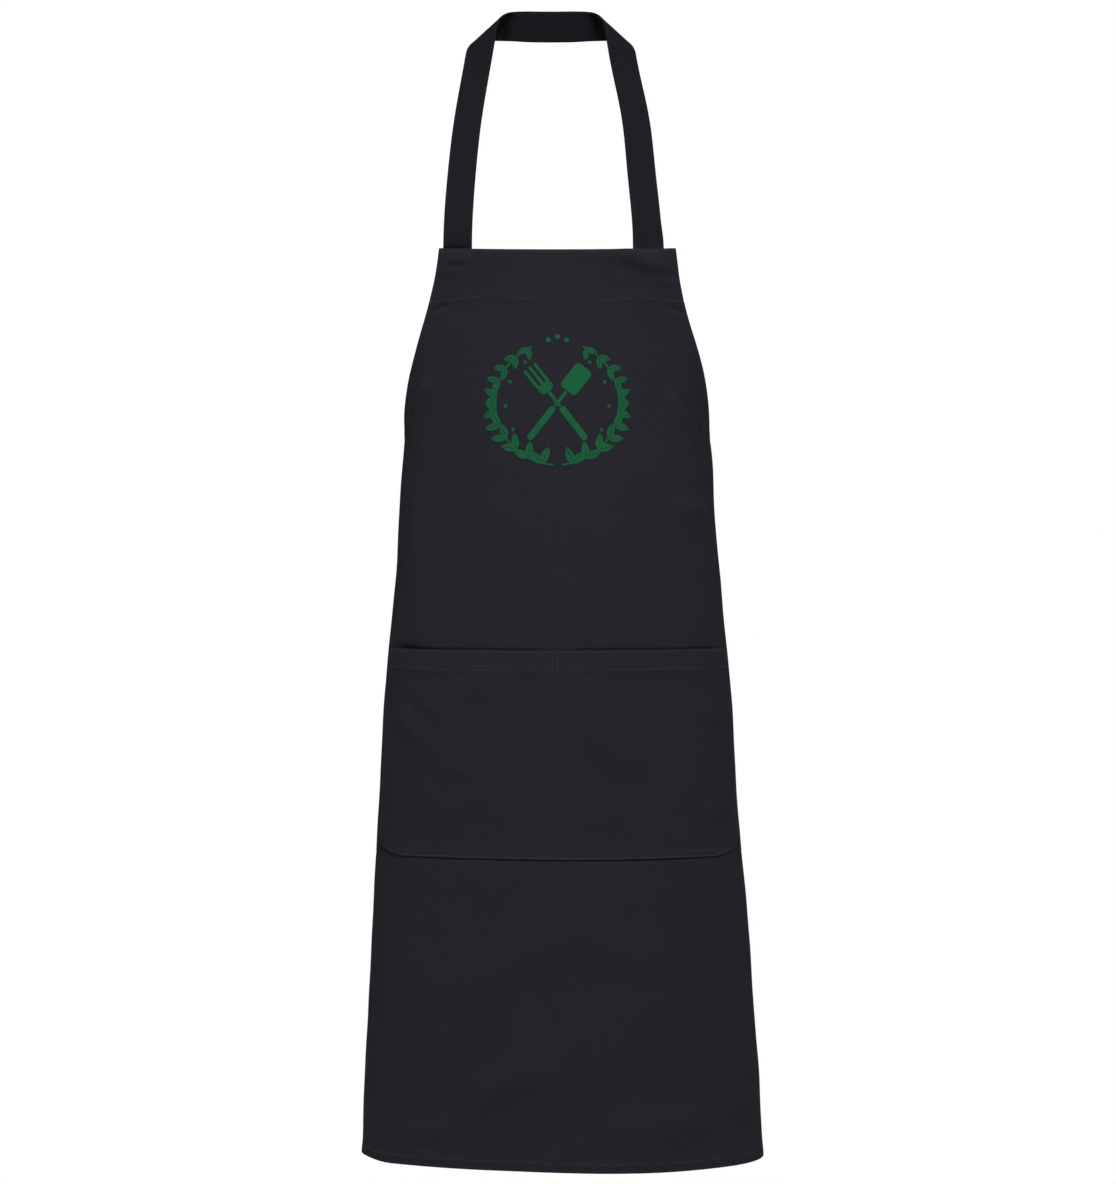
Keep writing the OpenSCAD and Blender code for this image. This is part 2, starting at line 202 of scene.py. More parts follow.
class Finish:
    def __init__(self, name):
        self.material = bpy.data.materials.new(name)
        self.material.use_nodes = True
        self.tree = self.material.node_tree
        self.tree.nodes.clear()
        self.output = self.tree.nodes.new("ShaderNodeOutputMaterial")

    def node(self, kind, settings=None, sockets=None, out=0):
        return Wire(self, addNode(self.tree, kind, settings, sockets)[out])

    def split(self, vector):
        first = self.node("ShaderNodeSeparateXYZ", {}, {"Vector": vector})
        outputs = first.socket.node.outputs
        return [Wire(self, outputs[k]) for k in range(3)]

    def noise(self, vector, scale, detail=2.0, roughness=0.5):
        if isinstance(scale, tuple):
            vector, scale = self.node("ShaderNodeMapping", {}, {"Vector": vector, "Scale": scale}), 1.0
        return self.node("ShaderNodeTexNoise", {}, {"Vector": vector, "Scale": scale, "Detail": detail,
                                                    "Roughness": roughness})

    def bump(self, height, strength, distance, **more):
        given = {"Strength": strength, "Distance": distance, "Height": height, **more}
        return self.node("ShaderNodeBump", {}, given)

    def cloth(self):
        return self.node("ShaderNodeUVMap", {"uv_map": "cloth"})

    def place(self):
        return self.node("ShaderNodeTexCoord", {}, {}, 3)

    def blendColour(self, factor, a, b):
        return self.node("ShaderNodeMix", {"data_type": "RGBA"}, {0: factor, 6: a, 7: b}, 2)

    def mark(self, name):
        return self.node("ShaderNodeAttribute", {"attribute_name": name}, {}, 2)

    def shade(self, sockets):
        shader = self.node("ShaderNodeBsdfPrincipled", {}, sockets)
        self.tree.links.new(shader.socket, self.output.inputs["Surface"])
        return self.material


def rgba(r, g, b):
    return (r, g, b, 1)


twillLook = {
    "pitch": 0.0009, "lean": 1.9, "leanSpan": 2.15, "yarn": 0.00045, "twillDepth": 0.55, "yarnDepth": 0.25,
    "fuzzDepth": 0.5, "bumpHeight": 0.00016, "puckerHeight": 0.0011, "roughness": 0.92, "sheen": 0.015,
}


# Phase of the twill's slanting ribs
def ribPhase(across, down):
    k = twillLook
    return (across * k["lean"] + down) * (2 * math.pi / k["pitch"] / k["leanSpan"])


# Cotton twill on the cloth's own flat map: u across and v down, in metres
def twillFinish(name, deep, pale):
    look = twillLook
    finish = Finish(name)
    flat = finish.cloth()
    place = finish.place()
    across, down, _ = finish.split(flat)
    wander = finish.noise(flat, 900, 1.0) - 0.5
    rib = (ribPhase(across, down) + wander * 1.6).math("SINE")
    warp = (across * (2 * math.pi / look["yarn"]) + wander * 2.0).math("SINE")
    fuzz = finish.noise(flat, 2600, 3.0, 0.65)
    slub = finish.noise(flat, (900, 22, 1))
    weft = finish.noise(flat, (18, 700, 1))
    mottle = finish.noise(place, 14, 3.0, 0.55)
    grain = finish.noise(flat, 750, 2.0, 0.6)
    cloud = finish.noise(place, 4.5, 2.0, 0.5)
    seam, wearAndHighlight, shade = finish.mark("seam"), finish.mark("wearAndHighlight"), finish.mark("shade")
    pucker = finish.noise(flat, (150, 150, 1), 1.5)
    tone = (slub - 0.5) * 0.09 + (weft - 0.5) * 0.07 + (mottle - 0.5) * 0.05 + (cloud - 0.5) * 0.05
    # The wear-and-highlight mark lightens the colour: real wear on rubbed edges and folds, and a painted
    # highlight along the pocket's mouth and foot
    tone = tone + rib * 0.035 + (grain - 0.5) * 0.16 + wearAndHighlight * (fuzz + 0.4) * 0.5 + 0.22
    colour = finish.blendColour(tone.held(), deep, pale)
    # Painted shade: the shade mark darkens the colour towards black, on the strap beside its folds and where
    # its left leg goes behind the bib
    colour = finish.blendColour(shade, colour, rgba(0.001, 0.001, 0.001))
    height = rib * look["twillDepth"] + warp * look["yarnDepth"] + fuzz * look["fuzzDepth"]
    fine = finish.bump(height, 1.0, look["bumpHeight"])
    gather = finish.bump(pucker * seam, 1.0, look["puckerHeight"], Normal=fine)
    rough = look["roughness"] + (fuzz - 0.5) * 0.12 - wearAndHighlight * 0.06
    return finish.shade({"Base Color": colour, "Roughness": rough, "Normal": gather,
                         "Specular IOR Level": 0.08, "Sheen Weight": look["sheen"], "Sheen Roughness": 0.5,
                         "Sheen Tint": rgba(0.5, 0.52, 0.66)})


def threadFinish(name, deep, pale):
    finish = Finish(name)
    place = finish.place()
    ply = finish.noise(place, 1800, 2.0)
    tone = finish.noise(place, 60, 2.0)
    colour = finish.blendColour((tone * 0.6 + ply * 0.5).math("MINIMUM", 1), deep, pale)
    return finish.shade({"Base Color": colour, "Roughness": 0.62 + ply * 0.15, "Specular IOR Level": 0.35,
                         "Normal": finish.bump(ply, 0.6, 0.0001)})


# Screen ink that lies on the ribs of the cloth and has worn off a little
def inkFinish(name, deep, pale, cloth):
    finish = Finish(name)
    flat = finish.cloth()
    across, down, _ = finish.split(flat)
    rib = ribPhase(across, down).math("SINE")
    grain = finish.noise(flat, 1500, 3.0, 0.7)
    patch = finish.noise(flat, 70, 4.0, 0.62)
    crack = finish.node("ShaderNodeTexVoronoi", {"feature": "DISTANCE_TO_EDGE"},
                        {"Vector": flat, "Scale": 420.0})
    worn = ((patch - 0.52) * 7 + (grain - 0.5) * 4).held()
    lost = worn * (crack * -9 + 1).math("MAXIMUM", 0)
    colour = finish.blendColour(grain * 0.7 + patch * 0.3, deep, pale)
    colour = finish.blendColour(lost * 0.85, colour, cloth)
    bump = finish.bump(rib * 0.5 + grain * 0.6 - lost, 0.8, 0.0001)
    return finish.shade({"Base Color": colour, "Roughness": 0.62 + grain * 0.15, "Normal": bump,
                         "Specular IOR Level": 0.12})


clothDeep, clothPale = rgba(0.0132, 0.0122, 0.0170), rgba(0.0480, 0.0455, 0.0620)
bodyTwill = twillFinish("navy twill", clothDeep, clothPale)
tapeTwill = twillFinish("navy twill tape", rgba(0.0084, 0.0077, 0.0107), rgba(0.0300, 0.0284, 0.0390))
topThread = threadFinish("navy topstitch thread", rgba(0.026, 0.0255, 0.035), rgba(0.070, 0.068, 0.091))
plainThread = threadFinish("navy hem thread", rgba(0.0090, 0.0086, 0.0120), rgba(0.0200, 0.0194, 0.0265))
tackThread = threadFinish("navy tack thread", rgba(0.014, 0.0136, 0.019), rgba(0.034, 0.0332, 0.044))
greenInk = inkFinish("green screen ink", rgba(0.002, 0.081, 0.027), rgba(0.0045, 0.125, 0.044), clothDeep)
print("finishes made")


# Closed shell of cloth between two grids of points, with a rounded rim all the way round
def clothShell(name, outer, inner, flat, finish, seam=None, wearAndHighlight=None, rimWear=0.1, shade=None):
    (rows, cols), rimSteps = outer.shape[:2], 3
    count, flat = rows * cols, flat.reshape(-1, 2)
    index = np.arange(count).reshape(rows, cols)
    around = np.concatenate([index[0, :-1], index[:-1, -1], index[-1, :0:-1], index[:0:-1, 0]])
    inward = np.clip(index // cols, 1, rows - 2) * cols + np.clip(index % cols, 1, cols - 2)
    inward = inward.reshape(-1)[around]
    a, b = outer.reshape(-1, 3), inner.reshape(-1, 3)
    middle, axis = (a[around] + b[around]) / 2, (a[around] - b[around]) / 2
    away = unit(a[around] + b[around] - a[inward] - b[inward])
    away = unit(away - unit(axis) * (away * unit(axis)).sum(-1, keepdims=True))
    away = away * np.linalg.norm(axis, axis=-1, keepdims=True)
    points, loops = [a, b], [around]
    for k in range(rimSteps):
        angle = math.pi * (k + 1) / (rimSteps + 1)
        loops.append(np.arange(len(around)) + 2 * count + k * len(around))
        points.append(middle + axis * math.cos(angle) + away * math.sin(angle))
    loops.append(around + count)
    front = np.stack([index[:-1, :-1], index[1:, :-1], index[1:, 1:], index[:-1, 1:]], -1).reshape(-1, 4)
    faces = [front, front[:, ::-1] + count]
    for one, two in zip(loops, loops[1:]):
        faces.append(np.stack([one, np.roll(one, -1), np.roll(two, -1), two], -1))
    flatAll = np.concatenate([flat] * 2 + [flat[around]] * rimSteps)
    marks = {}
    for key, values, rimValue in (("seam", seam, 0.0), ("wearAndHighlight", wearAndHighlight, rimWear), ("shade", shade, 0.0)):
        field = np.zeros(count) if values is None else np.broadcast_to(values, (rows, cols)).reshape(-1)
        marks[key] = np.concatenate([field, field, np.full(rimSteps * len(around), rimValue)])
    return meshFrom(name, np.concatenate(points), np.concatenate(faces), finish, flatAll, marks)


# Cloth between two lifts over the same places
def layShell(name, s, t, top, under, finish, seam=None, wearAndHighlight=None, place=onBody):
    return clothShell(name, place(s, t, top), place(s, t, under), np.stack([s, t], -1), finish, seam, wearAndHighlight)


def meshFrom(name, points, faces, finish, flat=None, marks=None):
    points = points * mm
    corner = points[faces]
    fans = range(1, faces.shape[1] - 1)
    volume = sum((corner[:, 0] * np.cross(corner[:, k], corner[:, k + 1])).sum() for k in fans)
    if volume < 0:
        faces = faces[:, ::-1]
    mesh = bpy.data.meshes.new(name)
    size = faces.shape[1]
    mesh.vertices.add(len(points))
    mesh.vertices.foreach_set("co", points.astype(np.float32).ravel())
    mesh.loops.add(faces.size)
    mesh.loops.foreach_set("vertex_index", faces.astype(np.int32).ravel())
    mesh.polygons.add(len(faces))
    mesh.polygons.foreach_set("loop_start", np.arange(0, faces.size, size, dtype=np.int32))
    mesh.update(calc_edges=True)
    mesh.polygons.foreach_set("use_smooth", np.ones(len(faces), bool))
    if flat is not None:
        layer = mesh.uv_layers.new(name="cloth")
        layer.data.foreach_set("uv", (flat[faces.ravel()] * mm).astype(np.float32).ravel())
    for key, values in (marks or {}).items():
        mesh.attributes.new(key, "FLOAT", "POINT").data.foreach_set("value", values.astype(np.float32))
    mesh.materials.append(finish)
    mesh.validate()
    return stand(name, mesh)


def stand(name, data):
    made = bpy.data.objects.new(name, data)
    bpy.context.scene.collection.objects.link(made)
    return made


def settle(piece, node=None, body="apron"):
    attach(piece, body)
    if node:
        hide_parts(node)
    return piece


# Panel: cut, folds in the cloth and the relief of its hems
panelLook = {
    "bibWidth": 236, "waistWidth": 670, "hemWidth": 690, "armholeDrop": 290, "armholePower": 2.2,
    "armholeSlant": 0.22, "cornerLeft": 20, "cornerRight": 11, "back": 0.1, "front": 0.9, "foldBack": -0.75,
    "sideHem": 12.4, "sideStitch": 10.9, "facingFree": 1.6, "bottomHem": 10.5, "bottomStitch": 9.1,
    "foldRise": 0.4, "stitchDip": 0.38, "hookWidth": 1.3, "facingSeam": 49, "facingEdge": 50.6,
    "topStitch": 1.8, "strapStitch": 3.6,
}


# The facing's seam wanders a little along the bib
def facingDrop(s):
    return 48 - 3.7 * dipAt(s, -68, 34) - 1.9 * dipAt(s, 85, 16)


def sideEdge(s, t):
    p = panelLook
    f = held(t / p["armholeDrop"])
    upper = mix(p["bibWidth"], p["waistWidth"], mix(f ** p["armholePower"], f, p["armholeSlant"])) / 2
    skirt = (t - p["armholeDrop"]) / (length - p["armholeDrop"])
    edge = np.where(t < p["armholeDrop"], upper, mix(p["waistWidth"], p["hemWidth"], skirt) / 2)
    corner = np.where(s < 0, p["cornerLeft"], p["cornerRight"])
    rise = held((t - length + corner) / corner)
    return edge - corner * 0.8 * (1 - np.sqrt(1 - rise ** 2 * 0.98))


# Soft creases in the cloth: from, to, half width, height and sideways bow
creases = [
    ((-118, 9), (-78, 9), 3.6, 2.4, 1), ((-112, 20), (-92, 24), 4, 1.2, 1),
    ((50, -2), (124, 20), 8.5, 6.2, 3), ((24, 4), (84, 8), 6, 1.6, 1), ((92, 26), (122, 34), 4, 1.8, 1),
    ((-108, 50), (-131, 63), 2.6, -2.4, 1), ((111, 51), (133, 64), 2.6, -2.4, -1),
    ((-106, 57), (-128, 70), 3, 1.1, 1), ((110, 58), (131, 71), 3, 1.1, -1),
    ((112, 130), (152, 204), 5.2, 6.2, -2), ((130, 126), (160, 186), 4, 4.5, -2),
    ((150, 196), (166, 232), 5, 2.4, -1), ((-128, 120), (-160, 166), 5.5, 5.3, 2),
    ((-174, 164), (-136, 190), 13, 1.6, 0), ((-143, 210), (-171, 352), 8, 3.4, -3),
    ((112, 252), (170, 258), 10, 3.0, -4), ((110, 286), (172, 282), 10, -2.0, 2),
    ((144, 320), (151, 390), 5, 3.2, 0), ((166, 290), (170, 332), 3, -1.8, 0),
    ((-58, 267), (-8, 286), 3.2, 0.6, -2), ((-24, 296), (68, 297), 2.2, 0.3, 0),
    ((-2, 253), (58, 298), 17, 2.0, -3), ((-76, 242), (-24, 279), 15, 1.8, 0),
    ((-30, 298), (-14, 386), 16, 1.0, 0), ((-162, 603), (-126, 610), 9, 1.2, 0),
    ((-98, 611), (-62, 618), 9, 1.2, 0), ((-58, 608), (-32, 623), 8, 1.3, 0),
    ((-104, 740), (2, 658), 17, 4.6, 0), ((-6, 656), (112, 700), 19, 4.4, 4),
    ((-60, 742), (80, 726), 22, -1.0, -8), ((-186, 656), (-116, 756), 26, 2.2, 0),
    ((0, 788), (-114, 856), 17, 7.6, 4), ((-66, 858), (-182, 880), 12, 3.8, 3),
    ((24, 864), (188, 846), 17, 5.2, 2), ((150, 866), (177, 884), 6, 1.6, 0),
    ((108, 868), (129, 888), 7, 1.4, 0),
]


def creaseLift(s, t, folds):
    total = np.zeros(np.broadcast(s, t).shape)
    for (s1, t1), (s2, t2), width, height, bow in folds:
        long = math.hypot(s2 - s1, t2 - t1)
        ds, dt = (s2 - s1) / long, (t2 - t1) / long
        run = ((s - s1) * ds + (t - t1) * dt) / long
        off = (s - s1) * -dt + (t - t1) * ds - bow * 4 * run * (1 - run)
        total = total + height * dipAt(off, 0, width) * ease(run / 0.35) * ease((1 - run) / 0.35)
    return total


# The pocket, whose mouth and foot press into the panel
pocketLook = {
    "drop": 393, "height": 204, "mouthSag": 1.2, "footRise": 0.6, "footSag": 1.1, "mouthWidth": 377,
    "baseWidth": 400, "cornerAcross": 50, "cornerRise": 17, "slack": 3, "mouthStitch": 18, "seamFree": 1.2,
    "edgeStitch": 1.9, "seamFold": 9, "thick": 0.85, "lift": 1.05, "press": 1.5, "gape": 2.6, "gapeAt": -155,
}
pocketCreases = [
    ((4, 420), (98, 520), 19, 5.8, 9), ((-172, 446), (-116, 496), 9.5, 3.2, 2),
    ((-150, 422), (-110, 466), 8, 2.6, 2), ((-112, 424), (-30, 432), 14, 2.2, 3),
    ((-122, 506), (-72, 511), 9, 2.0, 2), ((-130, 554), (-54, 524), 9, 3.5, 3),
    ((-82, 557), (-34, 552), 11, 2.2, -4), ((-30, 530), (-3, 512), 6, 2.8, 2),
    ((4, 560), (78, 544), 12, 2.2, 2), ((132, 446), (196, 468), 13, 3.2, 3),
    ((150, 568), (191, 519), 8, 2.2, 0),
]


# How far the mouth and foot stray from level
def mouthStray(s):
    return -pocketLook["mouthSag"] * np.abs(s / 172) ** 3


def footStray(s):
    return pocketLook["footSag"] * dipAt(s, 60, 110) - pocketLook["footRise"]


def drape(s, t):
    s, t = np.broadcast_arrays(np.asarray(s, float), np.asarray(t, float))
    low = held((t - 430) / 470) ** 1.5
    calm = 1 - 0.75 * ease((np.abs(s) - 240) / 80)
    flute = 1.1 * low * np.sin(s / 29 + 0.9 + 0.7 * np.sin(t / 150)) * (0.6 + 0.4 * np.sin(s / 83 + 1.4))
    broad = 0.7 * np.sin(s / 41 + t / 74 + 0.6) * np.sin(t / 118 - s / 190 + 0.3)
    small = 0.22 * np.sin(s / 13.5 - t / 21 + 1.1) * np.sin(s / 34 + t / 17)
    top, strip = ease(t / 30), 4.6 * held(1 - t / 54) ** 1.3
    return (flute + broad * (0.35 + 0.65 * top) + small * top + strip + creaseLift(s, t, creases)) * calm


# Distances in from the sides' folds and up from the hem's
def margins(s, t):
    return sideEdge(s, t) - np.abs(s), length - t


def seamCloseness(s, t):
    p, (side, foot) = panelLook, margins(s, t)
    near = np.maximum(dipAt(side, p["sideStitch"], 4.5), dipAt(foot, p["bottomStitch"], 4.5))
    return np.maximum(near, dipAt(t, facingDrop(s), 4.5))


def relief(s, t):
    p, (side, foot) = panelLook, margins(s, t)
    fold = np.maximum(inside(side, p["sideHem"], 2.4), inside(foot, p["bottomHem"], 2.4))
    fold = np.maximum(fold, inside(t - facingDrop(s), p["facingFree"], 2.4))
    dip = np.maximum(dipAt(side, p["sideStitch"]), dipAt(foot, p["bottomStitch"]))
    dip = np.maximum(dip, dipAt(t, facingDrop(s)))
    level = dipAt(t, facingDrop(s), 6) + dipAt(foot, p["bottomStitch"], 6)
    ripple = 0.16 * np.sin(s / 2.9 + 1.7 * np.sin(s / 23)) * level
    ripple = ripple + 0.16 * np.sin(t / 3.1 + 1.6 * np.sin(t / 27)) * dipAt(side, p["sideStitch"], 6)
    return p["foldRise"] * fold - p["stitchDip"] * dip + ripple


# The cloth dips behind the pocket's mouth and close under its foot
def pocketPress(s, t):
    p = pocketLook
    down = t - p["drop"] - mouthStray(s)
    mouth = dipAt(down, -0.4, 1.3) * ease((np.abs(s) - 5) / 18) * ease((178 - np.abs(s)) / 12)
    gape = dipAt(down, -1.3, 2.6) * dipAt(s, p["gapeAt"], 14)
    foot = dipAt(down + mouthStray(s) - p["height"] - footStray(s), 0.6, 0.9)
    foot = foot * (0.35 + 0.65 * ease((165 - np.abs(s)) / 40))
    return -p["press"] * (mouth + foot) - p["gape"] * gape


def panelFace(s, t):
    return panelLook["front"] + drape(s, t) + relief(s, t) + pocketPress(s, t)


def panelBack(s, t):
    return panelLook["back"] + drape(s, t) + pocketPress(s, t)


# Places on the panel: share runs across the field, and inset is the distance in from the side's fold
def panelPlace(share, inset, t):
    share, inset, t = np.broadcast_arrays(share, inset, t)
    return share * (sideEdge(share, t) - inset)


# Columns of a sewn sheet: shares across its field, then steps in from the fold of each side
def sheetColumns(field, insets):
    spare = len(insets) - 1
    shares = [-1] * spare + list(field) + [1] * spare
    return np.array(shares), np.array(insets[:0:-1] + insets[:1] * len(field) + insets[1:])


# Rows of the panel's grid close to the facing's seam follow it
def alongFacing(s, t):
    seam = panelLook["facingSeam"]
    return t + (facingDrop(s) - seam) * dipAt(t, seam, 15)


def panelPiece():
    p = panelLook
    rim = (p["front"] - p["foldBack"]) / 2
    insets = [14, 13, 12.2, 11.5, 10.9, 10.3, 9.4, 8, 6.2, 4.4, 2.9, 1.9, 1.35, rim]
    field = np.linspace(-1, 1, 121)
    field = np.sign(field) * np.abs(field) ** 0.86
    drops = [rim, 1.35, 1.9, 2.8, 4.2] + ramp(4.2, 45, 20) + [46.6, 47.7, 48.4, 49, 49.6, 50.4, 51.4, 53]
    for end, n in ((75, 12), (240, 56), (388, 42), (396, 8), (590, 24), (604, 9), (length - 16, 58)):
        drops += ramp(drops[-1], end, n)
    drops += [length - up for up in (14, 12.2, 11, 10.2, 9.6, 9.1, 8.5, 7.6, 6.2, 4.6, 3, 1.9, 1.35, rim)]
    t = np.array(drops)[:, None]
    s = panelPlace(*sheetColumns(field, insets), t)
    t = alongFacing(s, t)
    edge = np.minimum(np.minimum(*margins(s, t)), t)
    back = np.where(edge < p["hookWidth"], p["foldBack"], p["back"]) + drape(s, t) + pocketPress(s, t)
    wearAndHighlight = 0.08 * dipAt(edge, 0, 2) + 0.1 * dipAt(t - facingDrop(s), p["facingFree"] + 1, 1.2)
    return layShell("apron_panel", s, t, panelFace(s, t), back, bodyTwill, seamCloseness(s, t), wearAndHighlight)


# A turned-in hem lies behind the panel: its own band, with a rounded free edge
def hemBand(name, s, t, freeEdge):
    under = 0.22 * dipAt(freeEdge, 1.5, 1) + 0.12 * np.sin((s + t) / 7) * ease(freeEdge / 4)
    return layShell(name, s, t, drape(s, t) + 0.04, drape(s, t) + panelLook["foldBack"] + under, bodyTwill,
                    dipAt(freeEdge, 1.5, 4), 0.5 * dipAt(freeEdge, 0, 1.2))


def sideHem(name, side, top, bottom, rows):
    p = panelLook
    insets = np.array([p["hookWidth"] - 0.05, 3, 5, 7, 9, 10.2, 10.9, 11.6, p["sideHem"] - 0.4])[::side]
    t = np.linspace(top, bottom, rows)[:, None]
    s = panelPlace(float(side), insets, t)
    return hemBand(name, s, np.broadcast_to(t, s.shape), p["sideHem"] - np.broadcast_to(insets, s.shape))


def levelHem(name, drops, free):
    t = np.array(drops)[:, None]
    s = panelPlace(np.linspace(-1, 1, 121), panelLook["hookWidth"], t)
    return hemBand(name, s, alongFacing(s, t), np.abs(t - free) + 0 * s)


panel = settle(panelPiece(), "front_panel")
facing = settle(levelHem("bib_facing_fold", [1.3, 5, 12, 20, 28, 36, 42, 46, 48, 49, 49.8, 50.4],
                         panelLook["facingEdge"]), "bib_facing")
bottomFold = settle(levelHem("bottom_hem_fold", [length - up for up in (10.2, 9.7, 9.1, 8.4, 7, 5, 3, 1.3)],
                             length - panelLook["bottomHem"]), "bottom_hem")
armholeFolds, skirtFolds, waist = [], [], panelLook["armholeDrop"]
for side, word in sides.items():
    fold = sideHem(word + "_armhole_hem_fold", side, panelLook["facingEdge"] + 0.6, waist, 70)
    armholeFolds.append(settle(fold, word + "_armhole_hem"))
    fold = sideHem(word + "_skirt_hem_fold", side, waist + 0.3, length - panelLook["bottomHem"] - 0.5, 150)
    skirtFolds.append(settle(fold, word + "_skirt_hem"))
print("panel and hems made")


# Pocket: sewn at its sides, foot and middle, slack at the mouth
def pocketDown(t):
    return held((t - pocketLook["drop"]) / pocketLook["height"])


def pocketHalf(t):
    return mix(pocketLook["mouthWidth"], pocketLook["baseWidth"], pocketDown(t)) / 2


def pocketEdge(t):
    p = pocketLook
    rise = held((t - p["drop"] - p["height"] + p["cornerRise"]) / p["cornerRise"])
    return pocketHalf(t) - p["cornerAcross"] * (1 - np.sqrt(1 - rise ** 2 * 0.995))


# The mouth's seam sags with it, and the pocket hangs by its corners
def mouthSeam(s):
    return pocketLook["drop"] + pocketLook["mouthStitch"] + 1.2 * dipAt(s, -20, 70)


def onPocket(s, t, lift):
    return onBody(s, t + mix(mouthStray(s), footStray(s), pocketDown(t)), lift)


def pocketFace(s, t):
    p = pocketLook
    belly = np.sin(math.pi * held(np.abs(s) / (pocketHalf(t) - 5)))
    slack = p["slack"] * np.abs(belly) ** 0.8 * (1 - pocketDown(t)) ** 0.95
    foot, side = p["drop"] + p["height"] - t, pocketEdge(t) - np.abs(s)
    rim = np.minimum(foot, side)
    puff = 0.3 * inside(rim, p["seamFold"], 8) - 0.3 * dipAt(rim, p["edgeStitch"], 1.1)
    puff = puff - 0.5 * dipAt(s, 0, 1.1) - 0.35 * dipAt(t, mouthSeam(s), 1.0)
    puff = puff + 0.2 * inside(t, mouthSeam(s) + p["seamFree"], 2.6)
    ripple = 0.14 * np.sin(s / 3.1 + 1.5 * np.sin(s / 19)) * dipAt(t, mouthSeam(s), 6)
    ripple = ripple + 0.14 * np.sin(s / 3.3) * dipAt(foot, p["edgeStitch"], 6)
    ripple = ripple + 0.12 * np.sin(t / 3.2) * dipAt(s, 0, 7)
    folds = creaseLift(s, t, pocketCreases) * ease(belly / 0.5) * (0.35 + 0.65 * ease(foot / 40))
    hemUnder = 0.45 * inside(t, mouthSeam(s) + 4, 8)
    return p["lift"] + p["thick"] + hemUnder + drape(s, t) + slack + puff + ripple + folds


def pocketPiece():
    p = pocketLook
    top, foot, rim = p["drop"], p["drop"] + p["height"], p["thick"]
    insets = [9.5, 7.5, 5.5, 4, 3, 2.4, 1.9, 1.4, 0.9, 0.4]
    shares, depth = sheetColumns(bothWays([0.5, 1, 1.7, 2.7, 4.2] + ramp(4.2, 100, 26)) / 100, insets)
    downs = [rim, 1.3, 2, 3.5] + ramp(3.5, 15, 4) + [16, 16.8, 17.5, 18.2, 18.9, 19.6, 20.6, 22]
    drops = [top + down for down in downs] + ramp(top + downs[-1], foot - 18, 46)
    drops += [foot - up for up in (15.5, 13, 10.5, 8.2, 6.2, 4.6, 3.4, 2.6, 1.9, 1.3, 0.8, 0.4)]
    t = np.array(drops)[:, None]
    s = shares * (pocketEdge(t) - depth)
    t = np.broadcast_to(t, s.shape)
    face = pocketFace(s, t)
    edge = np.minimum(pocketEdge(t) - np.abs(s), foot - t)
    hook = np.where(t < top + 1.25, 2 * p["thick"], p["thick"])
    hook = np.where(edge < 1.0, p["thick"] * 1.5, hook)
    seam = np.maximum(dipAt(edge, p["edgeStitch"], 4), dipAt(t, mouthSeam(s), 4.5))
    seam = np.maximum(seam, dipAt(s, 0, 4))
    # Partly real edge wear, partly painted highlight: the mouth's fold and the foot's fold are lightened
    # where light from above catches them
    wearAndHighlight = 0.3 * dipAt(t, top, 2) + 0.2 * dipAt(edge, 0, 1.2) + dipAt(foot - t, 0, 1.1)
    wearAndHighlight = wearAndHighlight + 0.04 * dipAt(edge, 7, 3)
    return layShell("pocket_front", s, t, face, face - hook, bodyTwill, seam, wearAndHighlight, onPocket)


def pocketHemPiece():
    p = pocketLook
    depth = np.array([0.07, 0.2, 0.42, 0.62, 0.78, 0.88, 0.94, 1.0])[:, None]
    s = np.linspace(-1, 1, 91) * (pocketEdge(p["drop"] + depth * (p["mouthStitch"] + p["seamFree"])) - 6)
    end = mouthSeam(s) + p["seamFree"]
    t = p["drop"] + depth * (end - p["drop"])
    face, free = pocketFace(s, t) - p["thick"], end - t
    return layShell("pocket_mouth_fold", s, t, face - 0.02, face - 0.8 + 0.2 * dipAt(free, 1.2), bodyTwill,
                    dipAt(free, 1.2, 4), 0.4 * dipAt(free, 0, 1), onPocket)


pocket = settle(pocketPiece(), "pocket_panel")
pocketFold = settle(pocketHemPiece(), "pocket_hem")
print("pocket made")

# Neck strap: level behind the nape, rolled over each shoulder, then down to the bib and in behind it
strapLook = {
    "width": 30, "thick": 1.25, "leftNape": 43.3, "rightNape": 45.7, "napeBulge": 7.4, "napeLean": 0.3,
    "rollUp": 9.3, "rollDeep": 12, "slope": math.radians(42.8), "turn": math.radians(149.3),
    "leftInset": 2, "rightInset": 12.3, "leftBow": 0.5, "rightBow": 1.8, "leftFlare": 0, "rightFlare": 1.9,
    "endDepth": 36, "endLift": -1.75, "swingGap": 2, "edgeStitch": 2.6, "threadLine": 12.9, "turnIn": 1.34,
    "foldShade": 0.75,
}
# The roll over each shoulder is oval: distances along it, and the angle reached at each
rollUp, rollDeep = strapLook["rollUp"], strapLook["rollDeep"]
rollEnd = math.atan2(rollUp * math.sin(strapLook["turn"]), rollDeep * math.cos(strapLook["turn"]))
rollAngles = np.linspace(0, rollEnd, 80)
rollSpeed = np.hypot(rollUp * np.cos(rollAngles), rollDeep * np.sin(rollAngles))
rollRuns = np.concatenate([[0], np.cumsum((rollSpeed[1:] + rollSpeed[:-1]) / 2 * np.diff(rollAngles))])


# A value of the strap that has one size on each side
def strapOwn(side, key):
    return strapLook[sides[side] + key]


